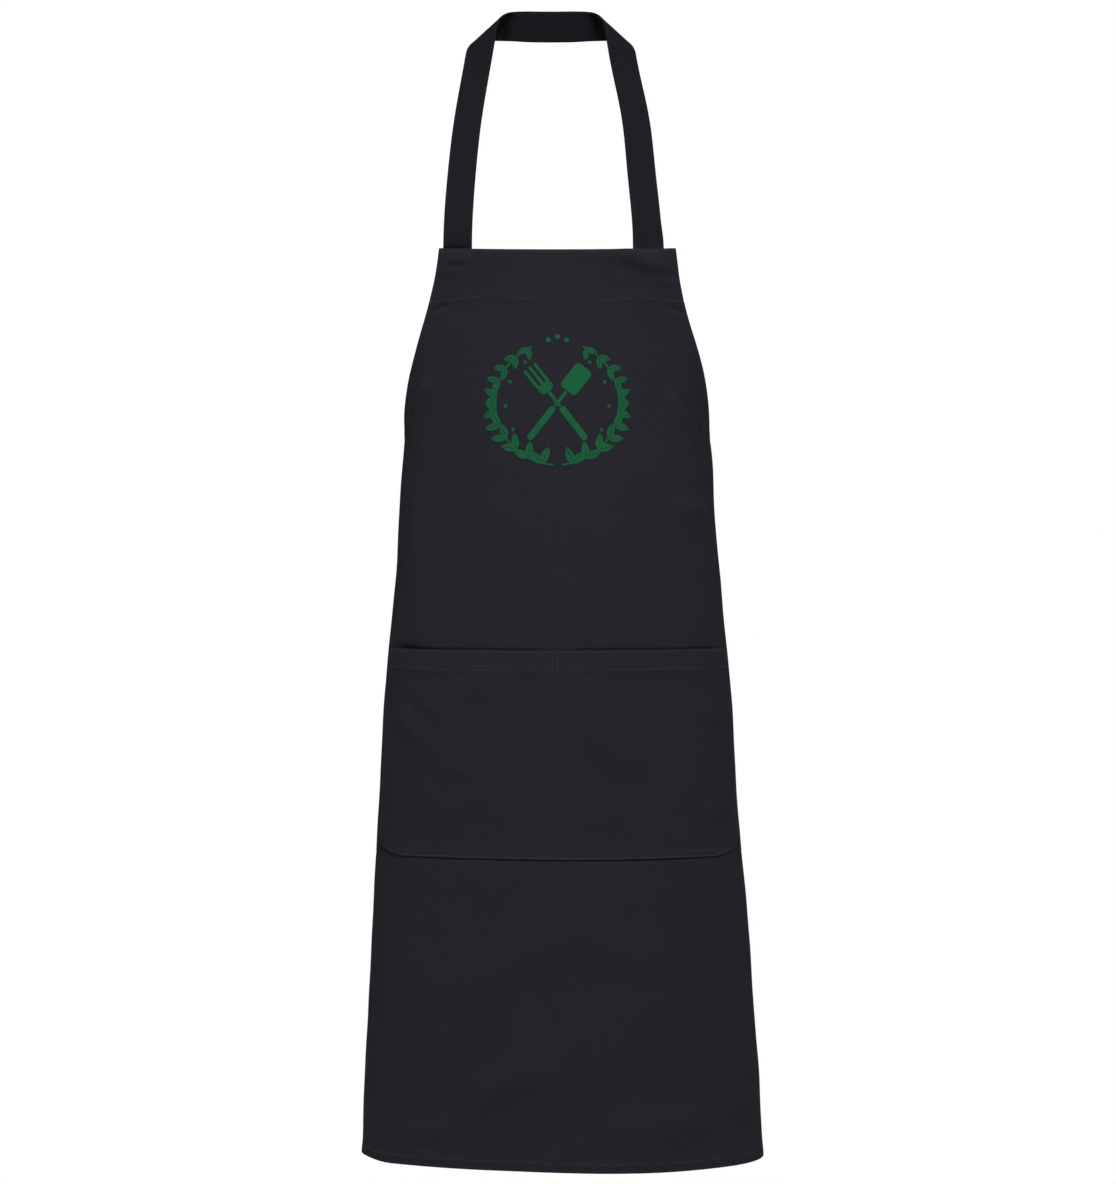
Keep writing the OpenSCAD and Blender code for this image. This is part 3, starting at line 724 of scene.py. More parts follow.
def loopPoint(side, u, v, lift):
    k = strapLook
    sinS, cosS = math.sin(k["slope"]), math.cos(k["slope"])
    nape = strapOwn(side, "Nape")
    start = nape * sinS
    c = u * sinS + v * cosS - start
    a = -u * cosS + v * sinS
    angle = np.interp(c, rollRuns, rollAngles)
    past = np.clip(c - rollRuns[-1], 0, None)
    up, ahead = np.sin(angle) * rollDeep, np.cos(angle) * rollUp
    size = np.hypot(up, ahead)
    m = start + np.minimum(c, 0) + rollUp * np.sin(angle) + lift * up / size + past * math.cos(k["turn"])
    y = lift * ahead / size - rollDeep * (1 - np.cos(angle)) - past * math.sin(k["turn"])
    y = y - k["napeBulge"] * ease(u / (2 * nape)) - k["napeLean"] * v * ease((nape - u) / 24)
    return np.stack([a * cosS - m * sinS, y, a * sinS + m * cosS], -1)


def legStart(side):
    k = strapLook
    over = rollRuns[-1] + k["width"] / 2 * math.cos(k["slope"])
    return over / math.sin(k["slope"]) + strapOwn(side, "Nape")


def strapMiddle(side):
    return side * (panelLook["bibWidth"] / 2 - strapOwn(side, "Inset") - strapLook["width"] / 2)


# One side of the strap from the nape to its sewn end: rows of points, with the distance along each row
def strapRows(side, across, lift):
    k = strapLook
    mirror, middle = np.array([-side, 1, 1]), strapMiddle(side)
    across = np.asarray(across, float)
    begin = legStart(side)
    runs = list(np.linspace(0, begin, 64))
    rows = [loopPoint(side, u, across, lift) for u in runs]
    p0 = loopPoint(side, begin, np.zeros(1), 0)[0]
    foot = onBody(middle, -k["swingGap"], k["endLift"]) * mirror
    reach = np.linalg.norm(foot - p0)
    leave = unit(loopPoint(side, begin + 1, np.zeros(1), 0)[0] - p0) * reach
    arrive = unit((onBody(middle, 0, 0) - onBody(middle, -10, 0)) * mirror) * reach
    bow = np.array([strapOwn(side, "Bow"), 0, 0])
    flare = strapOwn(side, "Flare") * held(-across / (k["width"] / 2))

    def line(f):
        curve = p0 * (2 * f ** 3 - 3 * f ** 2 + 1) + leave * (f ** 3 - 2 * f ** 2 + f)
        curve = curve + foot * (3 * f ** 2 - 2 * f ** 3) + arrive * (f ** 3 - f ** 2)
        return curve - bow * math.sin(math.pi * f) * math.sin(2 * math.pi * f)

    crossTop = unit(loopPoint(side, begin, np.ones(1), 0)[0] - loopPoint(side, begin, -np.ones(1), 0)[0])
    within, beyond = (onBody(middle + step, -k["swingGap"], 0) for step in (-side, side))
    crossFoot = unit((within - beyond) * mirror)
    for f in np.linspace(0, 1, 52)[1:]:
        over = unit(mix(crossTop, crossFoot, f ** k["turnIn"]))
        facingOut = unit(np.cross(unit(line(f + 0.01) - line(f - 0.01)), over))
        spread = across - flare * ease((f - 0.86) / 0.14)
        rows.append(line(f) + over * spread[:, None] + facingOut * np.asarray(lift).reshape(-1, 1))
        runs.append(begin + f * reach)
    for t in np.linspace(-k["swingGap"], k["endDepth"], 20)[1:]:
        spot = middle - side * (across - flare)
        settled = ease((t + k["swingGap"]) / 6)
        rows.append(onBody(spot, t, k["endLift"] + lift + settled * drape(spot, t)) * mirror)
        runs.append(begin + reach + t + k["swingGap"])
    return np.array(rows) * mirror, np.array(runs)


def strapPiece():
    k = strapLook
    across = bothWays([2, 5, 8, 10.5, 12.4, 13.4, 14.4, 15]) * 0.96
    edge = k["width"] / 2 - np.abs(across)
    puff = k["thick"] / 2 + 0.16 * inside(edge, 3.4, 2) - 0.2 * dipAt(edge, k["edgeStitch"], 0.8)
    grids = []
    for lift in (-puff, puff):
        one, runs = strapRows(left, across, lift)
        other, otherRuns = strapRows(right, across, lift)
        grids.append(np.concatenate([one[::-1], other[1:]]))
    along = np.concatenate([-runs[::-1], otherRuns[1:]])
    flat = np.stack(np.broadcast_arrays(across, along[:, None]), -1)
    seam = dipAt(edge, k["edgeStitch"], 3)
    # Painted shade: the nape's stretch is darkened close to its folds, where the folds shade it
    fold = np.where(along < 0, -k["leftNape"] - 2, k["rightNape"] + 2)
    shade = k["foldShade"] * dipAt(along, fold, 6)
    shade[17:20] = k["foldShade"]  # painted shade: a dark band across the left leg where it goes in behind the bib
    return clothShell("neck_strap_tape", *grids, flat, tapeTwill, seam, None, 0.0, shade[:, None])


def blendStrap(piece):
    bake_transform(piece)
    return piece


strap = blendStrap(strapPiece())
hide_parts("neck_strap", "left_strap_end", "right_strap_end")
print("neck strap made")

# Waist ties and bow
tieLook = {
    "width": 30, "thick": 1.15, "gather": 14, "gatherRun": 52, "knotR": 13, "knotDepth": 18, "gap": 1,
    "loopLength": 125, "loopFullness": 12, "loopSag": 14, "loopSlope": math.radians(16), "tailLength": 430,
    "tailSpread": 34, "tailWave": 5, "edgeStitch": 2.6, "pleat": 1.1, "tuck": 110, "lift": -1.55,
    "knotBack": 24.37, "wrapHalf": 12, "wrapDeep": 9, "wrapTall": 12.4,
}
knotDrop = panelLook["armholeDrop"] + tieLook["width"] / 2
knotCentre = np.array([form["bibOffset"], tieLook["knotBack"], -form["neckDrop"] - knotDrop])


def tapeWidth(run):
    return mix(tieLook["gather"], tieLook["width"], ease(run / tieLook["gatherRun"])) / 2


# Across a tape: the distance from its edge, half its thickness, and the marks of its seam and wear
tapeAcross = bothWays([0.17, 0.34, 0.5, 0.66, 0.8, 0.88, 0.95, 1])
tapeEdge = tieLook["width"] / 2 * (1 - np.abs(tapeAcross))
tapePuff = tieLook["thick"] / 2 + 0.12 * inside(tapeEdge, 3.4, 2)
tapePuff = tapePuff - 0.16 * dipAt(tapeEdge, tieLook["edgeStitch"], 0.8)
tapeMarks = (dipAt(tapeEdge, tieLook["edgeStitch"], 3), 0.8 * dipAt(tapeEdge, 0, 1.3))


def tapeShell(name, middle, over, out, halfWidth, run, phase, fade):
    drawn = 1 - ease(run[:, None] / (tieLook["gatherRun"] * 1.25))
    pleat = tieLook["pleat"] * drawn * np.cos(tapeAcross * 8.4 + phase)
    pleat = pleat * (1 - 0.3 * np.abs(tapeAcross)) * fade
    base = middle[:, None] + over[..., None, :] * (halfWidth[:, None] * tapeAcross)[..., None]
    outer = base + out[:, None] * (pleat + tapePuff)[..., None]
    inner = base + out[:, None] * (pleat - tapePuff)[..., None]
    along = np.concatenate([[0], np.cumsum(np.linalg.norm(np.diff(middle, axis=0), axis=1))])
    flat = np.stack(np.broadcast_arrays(tieLook["width"] / 2 * tapeAcross, along[:, None]), -1)
    return clothShell(name, outer, inner, flat, tapeTwill, *tapeMarks), outer, inner


def tieGrid(side):
    k = tieLook
    steps = np.concatenate([np.linspace(-0.1, 0, 8)[:-1], np.linspace(0, 1, 70)])
    f = held(steps)[:, None]
    share = (tapeAcross + 1) / 2
    drawn = ease(f)
    top, foot = panelLook["armholeDrop"], panelLook["armholeDrop"] + k["width"]
    t = mix(mix(top, foot, share), knotDrop + (share - 0.5) * k["gather"], drawn)
    endS = halfGirth(knotDrop) - k["knotR"] * 0.55
    s = mix(sideEdge(side, t), endS, f) + np.minimum(steps[:, None], 0) * k["tuck"]
    pleat = 1.2 * ease((f - 0.55) / 0.45) * np.cos(tapeAcross * 8.4 + side)
    sag = 1.6 * np.sin(math.pi * f) * np.sin(share * 3 + 1)
    hung = (1 - ease(f / 0.15)) * drape(side * s, t)
    return side * s, t, k["lift"] + pleat + sag * 0.6 + hung + 1.5 * ease((f - 0.7) / 0.3)


ties, tieSurfaces = {}, {}
for side, word in sides.items():
    s, t, lift = tieGrid(side)
    tieSurfaces[side] = onBody(s, t, lift + tapePuff), onBody(s, t, lift - tapePuff)
    piece = clothShell(word + "_waist_tie_tape", *tieSurfaces[side], np.stack([t, np.abs(s)], -1), tapeTwill,
                       *tapeMarks)
    ties[side] = settle(piece, word + "_waist_tie")


def bowLine(side, f):
    k = tieLook
    a = math.pi * mix(0.07, 0.93, f)
    first = k["loopLength"] * math.sin(math.pi * 0.07) ** 2
    out = k["loopLength"] * np.sin(a) ** 2
    reach = out + k["knotR"] + k["gap"] - first
    deep = k["knotDepth"] / 6 + 2 * k["loopFullness"] * np.sin(a) ** 2 * np.cos(a)
    down = reach * math.sin(k["loopSlope"]) + k["loopSag"] * (out / k["loopLength"]) ** 2
    return np.stack([side * reach * math.cos(k["loopSlope"]), deep, -down], -1), out


def bowPiece(side, word):
    k = tieLook
    f = np.linspace(0, 1, 150)
    (line, out), (ahead, _), (behind, _) = (bowLine(side, f + step) for step in (0, 0.004, -0.004))
    over = np.array([side * math.sin(k["loopSlope"]), 0, math.cos(k["loopSlope"])])
    lean = np.sin(math.pi * f) ** 3 * 0.16 * side
    over = unit(over + np.stack([0 * f, lean, 0 * f], -1))
    facingOut = unit(np.cross(ahead - behind, over)) * -side
    return tapeShell(word + "_bow_tape", knotCentre + line, over, facingOut, tapeWidth(out), out,
                     phase=side * 0.6, fade=0.75)


def tailPiece(side, word):
    k = tieLook
    f = np.linspace(0, 1, 110)
    run = k["tailLength"] * f
    half = tapeWidth(run)
    x = side * (half + k["gap"] + (k["tailSpread"] - k["width"] / 2 - k["gap"]) * ease(f))
    y = k["tailWave"] * np.sin(2 * math.pi * f) - k["knotDepth"] / 6
    line = knotCentre + np.stack([x, y, -k["knotR"] - k["gap"] - run], -1)
    twist = math.radians(9) * np.sin(math.pi * f * 1.5) * side * ease(f / 0.3)
    over = np.stack([np.cos(twist), np.sin(twist), 0 * f], -1)
    along = unit(np.gradient(line, axis=0))
    fade = (0.2 + 0.8 * ease((run - 1) / 14))[:, None]
    return tapeShell(word + "_tail_tape", line, over, unit(np.cross(over, along)), half, run,
                     phase=0.8 + side, fade=fade)


bows, tails = {}, {}
for side, word in sides.items():
    bows[side] = bowPiece(side, word)
    settle(bows[side][0], word + "_bow_loop", word + "_bow")
    tails[side] = tailPiece(side, word)
    settle(tails[side][0], word + "_tie_tail", word + "_tail")


# The knot: tape wrapped once round the crossing, drawn in at its middle, with pleats that run over it
def knotPiece():
    k = tieLook
    rows, cols = 60, 96
    up = np.linspace(-math.pi / 2, math.pi / 2, rows)[:, None]
    around = np.linspace(0, 2 * math.pi, cols, endpoint=False)[None, :]

    def soft(value, power):
        return np.sign(value) * np.abs(value) ** power

    x = k["wrapHalf"] * soft(np.cos(up), 0.78) * soft(np.cos(around), 0.85)
    y = k["wrapDeep"] * soft(np.cos(up), 0.75) * soft(np.sin(around), 0.8)
    z = k["wrapTall"] * soft(np.sin(up), 0.88) + 0 * around
    groove = 0.5 * np.cos(x * 1.15 + 0.07 * z) + 0.28 * np.cos(x * 2.3 - z * 0.12 + 1.0)
    swell = 1 + (groove - 0.35) * 0.085 * np.abs(np.sin(around)) ** 0.5
    x = x * (1 - 0.12 * dipAt(z, 0, 5.5)) + 0.03 * z
    grid = np.stack([x, y * swell, z * (1 - 0.02 * np.cos(x))], -1) + knotCentre
    flat = np.stack([x, np.broadcast_to(z, x.shape) + y * 0.5], -1)
    points = grid.reshape(-1, 3)
    index = np.arange(rows * cols).reshape(rows, cols)
    low, high = index[:-1], index[1:]
    faces = np.stack([low, np.roll(low, -1, 1), np.roll(high, -1, 1), high], -1).reshape(-1, 4)
    piece = meshFrom("bow_knot_wrap", points, faces, tapeTwill, flat.reshape(-1, 2),
                     {"seam": np.zeros(len(points)), "wearAndHighlight": held(0.35 * groove).reshape(-1)})
    shape = bmesh.new()
    shape.from_mesh(piece.data)
    bmesh.ops.remove_doubles(shape, verts=shape.verts, dist=0.00002)
    bmesh.ops.recalc_face_normals(shape, faces=shape.faces)
    shape.to_mesh(piece.data)
    shape.free()
    return piece


settle(knotPiece(), "tie_knot")
print("ties, bow and knot made")

# Topstitching: Geometry Nodes lay arched threads along each seam
stitchLook = {"pitch": 3.0, "long": 1.75, "thread": 0.48, "arch": 0.42, "seed": 7}
# The sockets that its sizes go to
stitchSizes = {"Pitch": "pitch", "Stitch Length": "long", "Thread Width": "thread", "Arch": "arch"}


def stitchTree():
    tree = bpy.data.node_groups.new("topstitch run", "GeometryNodeTree")
    tree.is_modifier = True
    names = {}
    tree.interface.new_socket("Seam", in_out="INPUT", socket_type="NodeSocketGeometry")
    kinds = dict.fromkeys(stitchSizes, "Float") | {"Seed": "Int", "Thread": "Material"}
    for label, kind in kinds.items():
        socket = tree.interface.new_socket(label, in_out="INPUT", socket_type="NodeSocket" + kind)
        names[label] = socket.identifier
    tree.interface.new_socket("Stitches", in_out="OUTPUT", socket_type="NodeSocketGeometry")

    def add(kind, sockets=None, out=0, **settings):
        return addNode(tree, kind, settings, sockets)[out]

    def times(value, factor):
        return add("ShaderNodeMath", {0: value, 1: factor}, operation="MULTIPLY")

    def corner(**parts):
        return add("ShaderNodeCombineXYZ", parts)

    given = addNode(tree, "NodeGroupInput")
    wide, half = given["Thread Width"], times(given["Stitch Length"], 0.5)
    sunk = times(wide, -0.55)
    arc = add("GeometryNodeCurveQuadraticBezier", {
        "Resolution": 4, "Start": corner(X=times(half, -1), Z=sunk), "Middle": corner(Z=given["Arch"]),
        "End": corner(X=half, Z=sunk)})
    ring = add("GeometryNodeCurvePrimitiveCircle", {"Resolution": 5, "Radius": times(wide, 0.5)})
    thread = add("GeometryNodeCurveToMesh", {"Curve": arc, "Profile Curve": ring, "Fill Caps": True})
    path = add("GeometryNodeMeshToCurve", {"Mesh": given["Seam"]})
    run = add("GeometryNodeResampleCurve", {"Curve": path, "Length": given["Pitch"]}, mode="LENGTH")
    outward = add("GeometryNodeInputNamedAttribute", {"Name": "outward"}, data_type="FLOAT_VECTOR")
    ahead = add("GeometryNodeInputTangent")
    aim = add("FunctionNodeAxesToRotation", {"Primary Axis": outward, "Secondary Axis": ahead},
              primary_axis="Z", secondary_axis="X")
    yaw = add("FunctionNodeRandomValue", {2: -0.09, 3: 0.09, "Seed": given["Seed"]}, 1, data_type="FLOAT")
    turn = add("FunctionNodeEulerToRotation", {"Euler": corner(Z=yaw)})
    aimed = add("FunctionNodeRotateRotation", {"Rotation": aim, "Rotate By": turn}, rotation_space="LOCAL")
    laid = add("GeometryNodeInstanceOnPoints", {"Points": run, "Instance": thread, "Rotation": aimed})
    real = add("GeometryNodeRealizeInstances", {"Geometry": laid})
    done = add("GeometryNodeSetMaterial", {"Geometry": real, "Material": given["Thread"]})
    addNode(tree, "NodeGroupOutput", {}, {0: done})
    return tree, names


stitchRun, stitchInputs = stitchTree()


# runs: (points, outward directions) in millimetres, one for each line of stitches
def stitchPiece(name, runs, finish=topThread, **changes):
    look = dict(stitchLook, **changes)
    points, outward = (np.concatenate(part) for part in zip(*runs))
    ends = np.cumsum([len(line) for line, _ in runs])
    edges = [(k, k + 1) for k in range(len(points) - 1) if k + 1 not in ends]
    mesh = bpy.data.meshes.new(name + " guide")
    mesh.from_pydata((points * mm).tolist(), edges, [])
    mesh.attributes.new("outward", "FLOAT_VECTOR", "POINT").data.foreach_set(
        "vector", unit(outward).astype(np.float32).ravel())
    guide = stand(name + "_guide", mesh)
    modifier = guide.modifiers.new("topstitch", "NODES")
    modifier.node_group = stitchRun
    for label, key in stitchSizes.items():
        modifier[stitchInputs[label]] = look[key] * mm
    modifier[stitchInputs["Seed"]], modifier[stitchInputs["Thread"]] = look["seed"], finish
    bpy.context.view_layer.update()
    made = bpy.data.meshes.new_from_object(guide.evaluated_get(bpy.context.evaluated_depsgraph_get()))
    made.name = name
    made.polygons.foreach_set("use_smooth", np.ones(len(made.polygons), bool))
    bpy.data.objects.remove(guide)
    print("  ", name, len(made.polygons), "faces")
    return stand(name, made)


def surfaceRun(s, t, lift, facingOut=1, place=onBody):
    s, t = np.broadcast_arrays(np.asarray(s, float), np.asarray(t, float))
    line = place(s, t, lift(s, t))
    return line, (place(s, t, lift(s, t) + 1) - line) * facingOut


# Stitches show on the cloth's face and again behind it
def throughCloth(s, t, face, back, place=onBody):
    return [surfaceRun(s, t, face, 1, place), surfaceRun(s, t, back, -1, place)]


def hemInside(s, t):
    return drape(s, t) + panelLook["foldBack"] + 0.1


def sideRuns():
    runs, t = [], np.linspace(3, length - 4, 260)
    for side in sides:
        runs += throughCloth(panelPlace(float(side), panelLook["sideStitch"], t), t, panelFace, hemInside)
    return runs


def levelRuns():
    p, runs = panelLook, []
    for drop, inset in ((p["facingSeam"], 2.5), (length - p["bottomStitch"], 5.5), (p["topStitch"], 2.5)):
        s = panelPlace(np.linspace(-1, 1, 160), inset, float(drop))
        runs += throughCloth(s, alongFacing(s, drop), panelFace, hemInside)
    for side in sides:
        runs.append(surfaceRun(strapMiddle(side) + np.linspace(-13, 13, 12), p["strapStitch"], panelFace))
    return runs


def pocketRuns():
    p, runs = pocketLook, []
    top, foot, inset = p["drop"], p["drop"] + p["height"], p["edgeStitch"]
    s = np.linspace(-1, 1, 120) * (pocketEdge(top + p["mouthStitch"]) - 2.5)
    runs.append(surfaceRun(s, mouthSeam(s), pocketFace, 1, onPocket))
    turn = p["cornerRise"]
    down = np.linspace(top + 2.5, foot - turn, 70)
    down = np.concatenate([down, foot - turn + (turn - inset) * np.sin(np.linspace(0, math.pi / 2, 40)[1:])])
    corner = held((down - foot + turn) / (turn - inset))
    reach = pocketHalf(down) - inset - (p["cornerAcross"] - inset) * (1 - np.sqrt(1 - corner ** 2))
    level = np.linspace(-1, 1, 90)[1:-1] * reach[-1]
    s = np.concatenate([-reach, level, reach[::-1]])
    t = np.concatenate([down, np.full(len(level), down[-1]), down[::-1]])
    return runs + throughCloth(s, t, pocketFace, panelBack, onPocket)


def middleRuns():
    t = np.linspace(pocketLook["drop"] + 3, pocketLook["drop"] + pocketLook["height"] - 3, 90)
    return throughCloth(0 * t, t, pocketFace, panelBack, onPocket)


# Bars of close stitches at the mouth's middle and ends
def tackPiece():
    top, runs = pocketLook["drop"], []
    for middle, width, deep in ((0, 0.9, 17), (left, 1, 8), (right, 1, 8)):
        s = middle * (pocketEdge(top) - 3.2) + np.array([-width, width]) / 2
        runs += [surfaceRun(s, t, pocketFace, 1, onPocket) for t in np.arange(top + 2, top + 2 + deep, 0.5)]
    return stitchPiece("pocket_bar_tacks", runs, tackThread, pitch=5.0, long=1.2, thread=0.42, arch=0.35)


levelStitches = settle(stitchPiece("level_seam_stitches", levelRuns()))
sideStitches = settle(stitchPiece("side_hem_stitches", sideRuns(), plainThread, long=1.7))
pocketStitches = settle(stitchPiece("pocket_stitches", pocketRuns()))
middleStitches = settle(stitchPiece("pocket_middle_stitches", middleRuns(), tackThread, long=1.4, thread=0.4))
pocketTacks = settle(tackPiece())


# The same line of stitches on both faces of a tape
def throughTape(a, b):
    return [(a, a - b), (b, b - a)]


def strapRuns():
    runs, puff = [], strapLook["thick"] / 2 + 0.02
    for side in sides:
        for v in (-strapLook["threadLine"], strapLook["threadLine"]):
            near, far = (strapRows(side, np.array([v]), lift)[0][:, 0] for lift in (-puff, puff))
            runs += throughTape(near, far)
    near, far = (strapRows(left, np.linspace(-12.8, 12.8, 14), lift)[0] for lift in (-puff, puff))
    for row in (-24, -21):  # two rows sewn across the left leg just above the bib
        runs.append((near[row], near[row] - far[row]))
    return runs


def edgeRuns(outer, inner, trim=2):
    runs = []
    for column in (3, len(tapeAcross) - 4):
        runs += throughTape(outer[trim:-trim, column], inner[trim:-trim, column])
    return runs


# The free end of a tail is turned up and sewn across
def endRuns(outer, inner, row):
    return throughTape(outer[row, 1:-1], inner[row, 1:-1])


strapStitches = blendStrap(stitchPiece("strap_stitches", strapRuns(), plainThread))
runs = edgeRuns(*tieSurfaces[left]) + edgeRuns(*tieSurfaces[right])
settle(stitchPiece("waist_tie_stitches", runs))
bowStitches, tailStitches = {}, {}
for side, word in sides.items():
    runs = edgeRuns(*bows[side][1:], 4)
    piece = stitchPiece(word + "_bow_stitches", runs)
    bowStitches[side] = settle(piece, None, word + "_bow")
    runs = edgeRuns(*tails[side][1:], 3) + endRuns(*tails[side][1:], -3)
    piece = stitchPiece(word + "_tail_stitches", runs)
    tailStitches[side] = settle(piece, None, word + "_tail")
print("stitches laid")

# Chest print: crossed fork and spatula in a wreath, cut from flat shapes and laid on the cloth
printLook = {
    "centre": 150, "wreath": 61, "stem": 0.8, "leaf": 17, "leafWidth": 7.4, "leaves": 11, "vein": 0.28,
    "raise": 0.05, "ink": 0.12,
}


def leafShape(centre, heading, long, wide):
    ds, dt = math.sin(heading), -math.cos(heading)
    shares, vein, halves = [k / 12 for k in range(13)], printLook["vein"], []
    for side in sides:
        outline = [(f * long, side * (vein + wide / 2 * math.sin(math.pi * f ** 0.8) ** 0.9)) for f in shares]
        outline += [(f * long, side * vein) for f in shares[:0:-1]]
        halves.append([(centre[0] + along * ds + over * dt, centre[1] + along * dt - over * ds)
                       for along, over in outline])
    return halves


def ringShape(centre, radius, n=20):
    angles = [2 * math.pi * k / n for k in range(n)]
    return [(centre[0] + radius * math.cos(a), centre[1] + radius * math.sin(a)) for a in angles]


def turned(outline, angle, centre):
    c, s = math.cos(angle), math.sin(angle)
    return [(centre[0] + x * c - y * s, centre[1] + x * s + y * c) for x, y in outline]


def rounded(width, top, bottom, radius, n=6):
    half, outline = width / 2, []
    for cx, cy, first in ((half - radius, top + radius, -90), (half - radius, bottom - radius, 0),
                          (radius - half, bottom - radius, 90), (radius - half, top + radius, 180)):
        for k in range(n + 1):
            angle = math.radians(first + 90 * k / n)
            outline.append((cx + radius * math.cos(angle), cy + radius * math.sin(angle)))
    return outline


# A place on one side of the wreath, by its angle from the foot of the design
def onRing(side, radius, angle):
    return side * radius * math.sin(angle), printLook["centre"] + radius * math.cos(angle)


def printShapes():
    p, shapes = printLook, []
    for side in sides:
        for k in range(p["leaves"]):
            f = k / (p["leaves"] - 1)
            angle, size = math.radians(mix(14, 152, f)), mix(1.0, 0.72, f)
            for lean in (0.62, -0.62):
                shapes += leafShape(onRing(side, p["wreath"], angle), side * (angle + lean), p["leaf"] * size,
                                    p["leafWidth"] * size)
            if k % 2:
                shapes.append(ringShape(onRing(side, p["wreath"] - 10, angle + 0.06), 1.7))
        arc = [math.radians(mix(4, 156, k / 40)) for k in range(41)]
        shapes.append([onRing(side, p["wreath"] + p["stem"], a) for a in arc]
                      + [onRing(side, p["wreath"] - p["stem"], a) for a in arc[::-1]])
    spatula = [rounded(19, -44, -15, 4), rounded(6.4, 5, 46, 3.2), rounded(3.2, -14, 4, 1.2)]
    fork = [[(x + shift, y) for x, y in rounded(2.9, -45, -22, 1.4)] for shift in (-6, 0, 6)]
    fork += [rounded(15, -23.5, -14, 4.6), rounded(3.2, -13.5, 4, 1.2), rounded(6.4, 5, 46, 3.2)]
    for tool, lean in ((spatula, 38), (fork, -38)):
        shapes += [turned(outline, math.radians(lean), (0, p["centre"])) for outline in tool]
    return shapes + [ringShape((x, p["centre"] - rise), 2.4) for x, rise in ((-9, 62), (0, 65), (9, 62))]


def printPiece():
    shape = bmesh.new()

    def everything():
        return shape.verts[:] + shape.edges[:] + shape.faces[:]

    for outline in printShapes():
        shape.faces.new([shape.verts.new((x, y, 0)) for x, y in outline])
    shape.normal_update()
    bmesh.ops.triangulate(shape, faces=shape.faces)
    for axis, low, high in ((0, -80, 80), (1, 60, 240)):
        for cut in np.arange(low, high, 5.0):
            place, normal = [0, 0, 0], [0, 0, 0]
            place[axis], normal[axis] = cut, 1
            bmesh.ops.bisect_plane(shape, geom=everything(), dist=0.0005, plane_co=place, plane_no=normal)
    bmesh.ops.triangulate(shape, faces=shape.faces)
    bottom = bmesh.ops.duplicate(shape, geom=everything())
    lowerVerts = {g for g in bottom["geom"] if isinstance(g, bmesh.types.BMVert)}
    twin = bottom["vert_map"]
    rimEdges = [e for e in shape.edges if len(e.link_faces) == 1 and e.verts[0] not in lowerVerts]
    for edge in rimEdges:
        a, b = edge.verts
        shape.faces.new((a, b, twin[b], twin[a]))
    flat = np.array([v.co[:2] for v in shape.verts])
    low = np.array([v in lowerVerts for v in shape.verts])
    p = printLook
    lift = panelFace(flat[:, 0], flat[:, 1]) + np.where(low, p["raise"] - 0.04, p["raise"] + p["ink"])
    places = onBody(flat[:, 0], flat[:, 1], lift) * mm
    layer = shape.loops.layers.uv.new("cloth")
    for face in shape.faces:
        for loop in face.loops:
            loop[layer].uv = (loop.vert.co.x * mm, loop.vert.co.y * mm)
    for vert, place in zip(shape.verts, places):
        vert.co = place
    bmesh.ops.recalc_face_normals(shape, faces=shape.faces)
    mesh = bpy.data.meshes.new("chest_print")
    shape.to_mesh(mesh)
    shape.free()
    mesh.materials.append(greenInk)
    return stand("chest_print", mesh)


chestPrint = settle(printPiece())
print("print laid:", len(chestPrint.data.polygons), "faces")

# The facing, hem folds, stitches and print gathered in a list that nothing uses
[facing, bottomFold, levelStitches, sideStitches, chestPrint] + armholeFolds + skirtFolds

# Studio: pale floor, white surround, soft lights and the camera
studioLook = {
    "floorDrop": 1.5, "floorHalf": 1.55, "surround": 0.14,
    "cameraPlace": (0.0085, -3.366, -0.5805), "lens": 99.6,
}
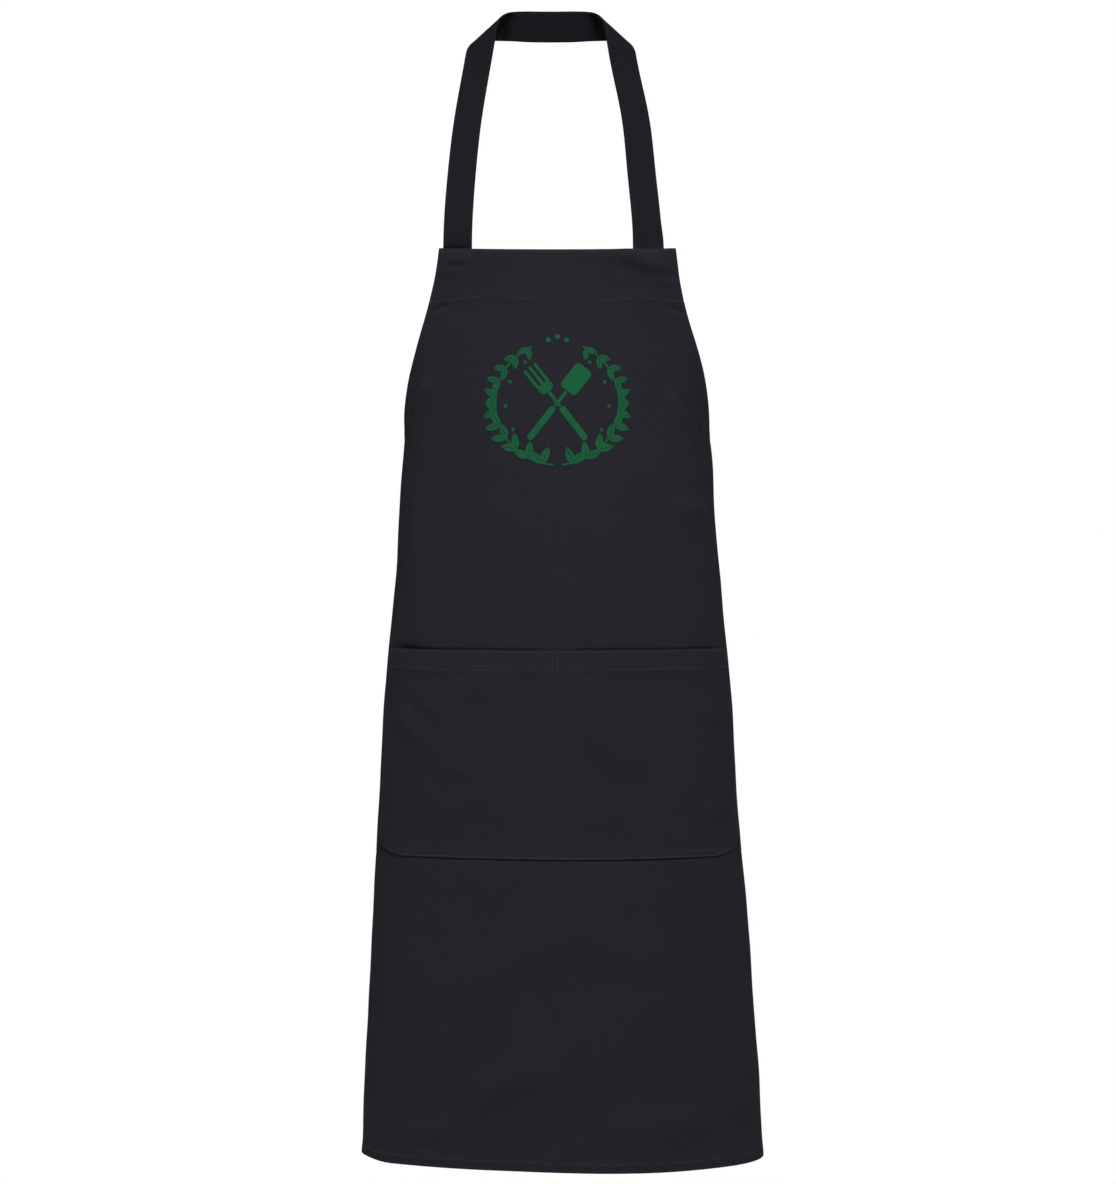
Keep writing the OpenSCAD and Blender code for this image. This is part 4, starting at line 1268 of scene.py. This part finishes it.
# Each light: power, size, spread, place and the point it looks at
studioLights = {
    "key light": (6.9, 1.1, math.radians(36), (0.3, -3.0, 2.4), (-0.12, -0.1, -0.61)),
    "left light": (13.1, 1.2, math.pi, (-2.1, -1.9, -0.4), (0, -0.1, -0.5)),
    "right light": (11.1, 1.2, math.pi, (2.1, -1.9, -0.2), (0, -0.1, -0.4)),
    "back light": (52, 1.2, math.pi, (0.2, 3.0, 0.9), (0, 0, -0.6)),
}


def studio():
    k = studioLook
    scene = bpy.context.scene
    half, drop = k["floorHalf"], -k["floorDrop"]
    mesh = bpy.data.meshes.new("floor")
    mesh.from_pydata([(-half, -half, drop), (half, -half, drop), (half, half, drop), (-half, half, drop)], [],
                     [(0, 1, 2, 3)])
    finish = Finish("pale studio floor")
    dull, bright = rgba(0.92, 0.92, 0.92), rgba(0.95, 0.95, 0.95)
    colour = finish.blendColour(finish.noise(finish.place(), 3.0), dull, bright)
    mesh.materials.append(finish.shade({"Base Color": colour, "Roughness": 0.8}))
    floor = stand("floor", mesh)
    scene.world = bpy.data.worlds.new("white surround")
    scene.world.use_nodes = True
    tree = scene.world.node_tree
    tree.nodes.clear()
    seen, lit = (addNode(tree, "ShaderNodeBackground", {}, {"Color": rgba(1, 1, 1), "Strength": strength})[0]
                 for strength in (1.0, k["surround"]))
    ray = addNode(tree, "ShaderNodeLightPath")["Is Camera Ray"]
    choice = addNode(tree, "ShaderNodeMixShader", {}, {0: ray, 1: lit, 2: seen})[0]
    addNode(tree, "ShaderNodeOutputWorld", {}, {"Surface": choice})
    for name, (power, size, spread, place, target) in studioLights.items():
        lamp = bpy.data.lights.new(name, "AREA")
        lamp.shape, lamp.size, lamp.energy, lamp.spread = "SQUARE", size, power, spread
        holder = stand(name, lamp)
        holder.location = place
        holder.rotation_euler = (Vector(target) - Vector(place)).to_track_quat("-Z", "Y").to_euler()
    camera = bpy.data.cameras.new("front camera")
    camera.lens, camera.sensor_width = k["lens"], 36
    scene.camera = stand("front camera", camera)
    scene.camera.location = k["cameraPlace"]
    scene.camera.rotation_euler = (math.pi / 2, 0, 0)
    scene.view_settings.view_transform = "Standard"
    scene.view_settings.look = "None"


studio()
print("studio set")
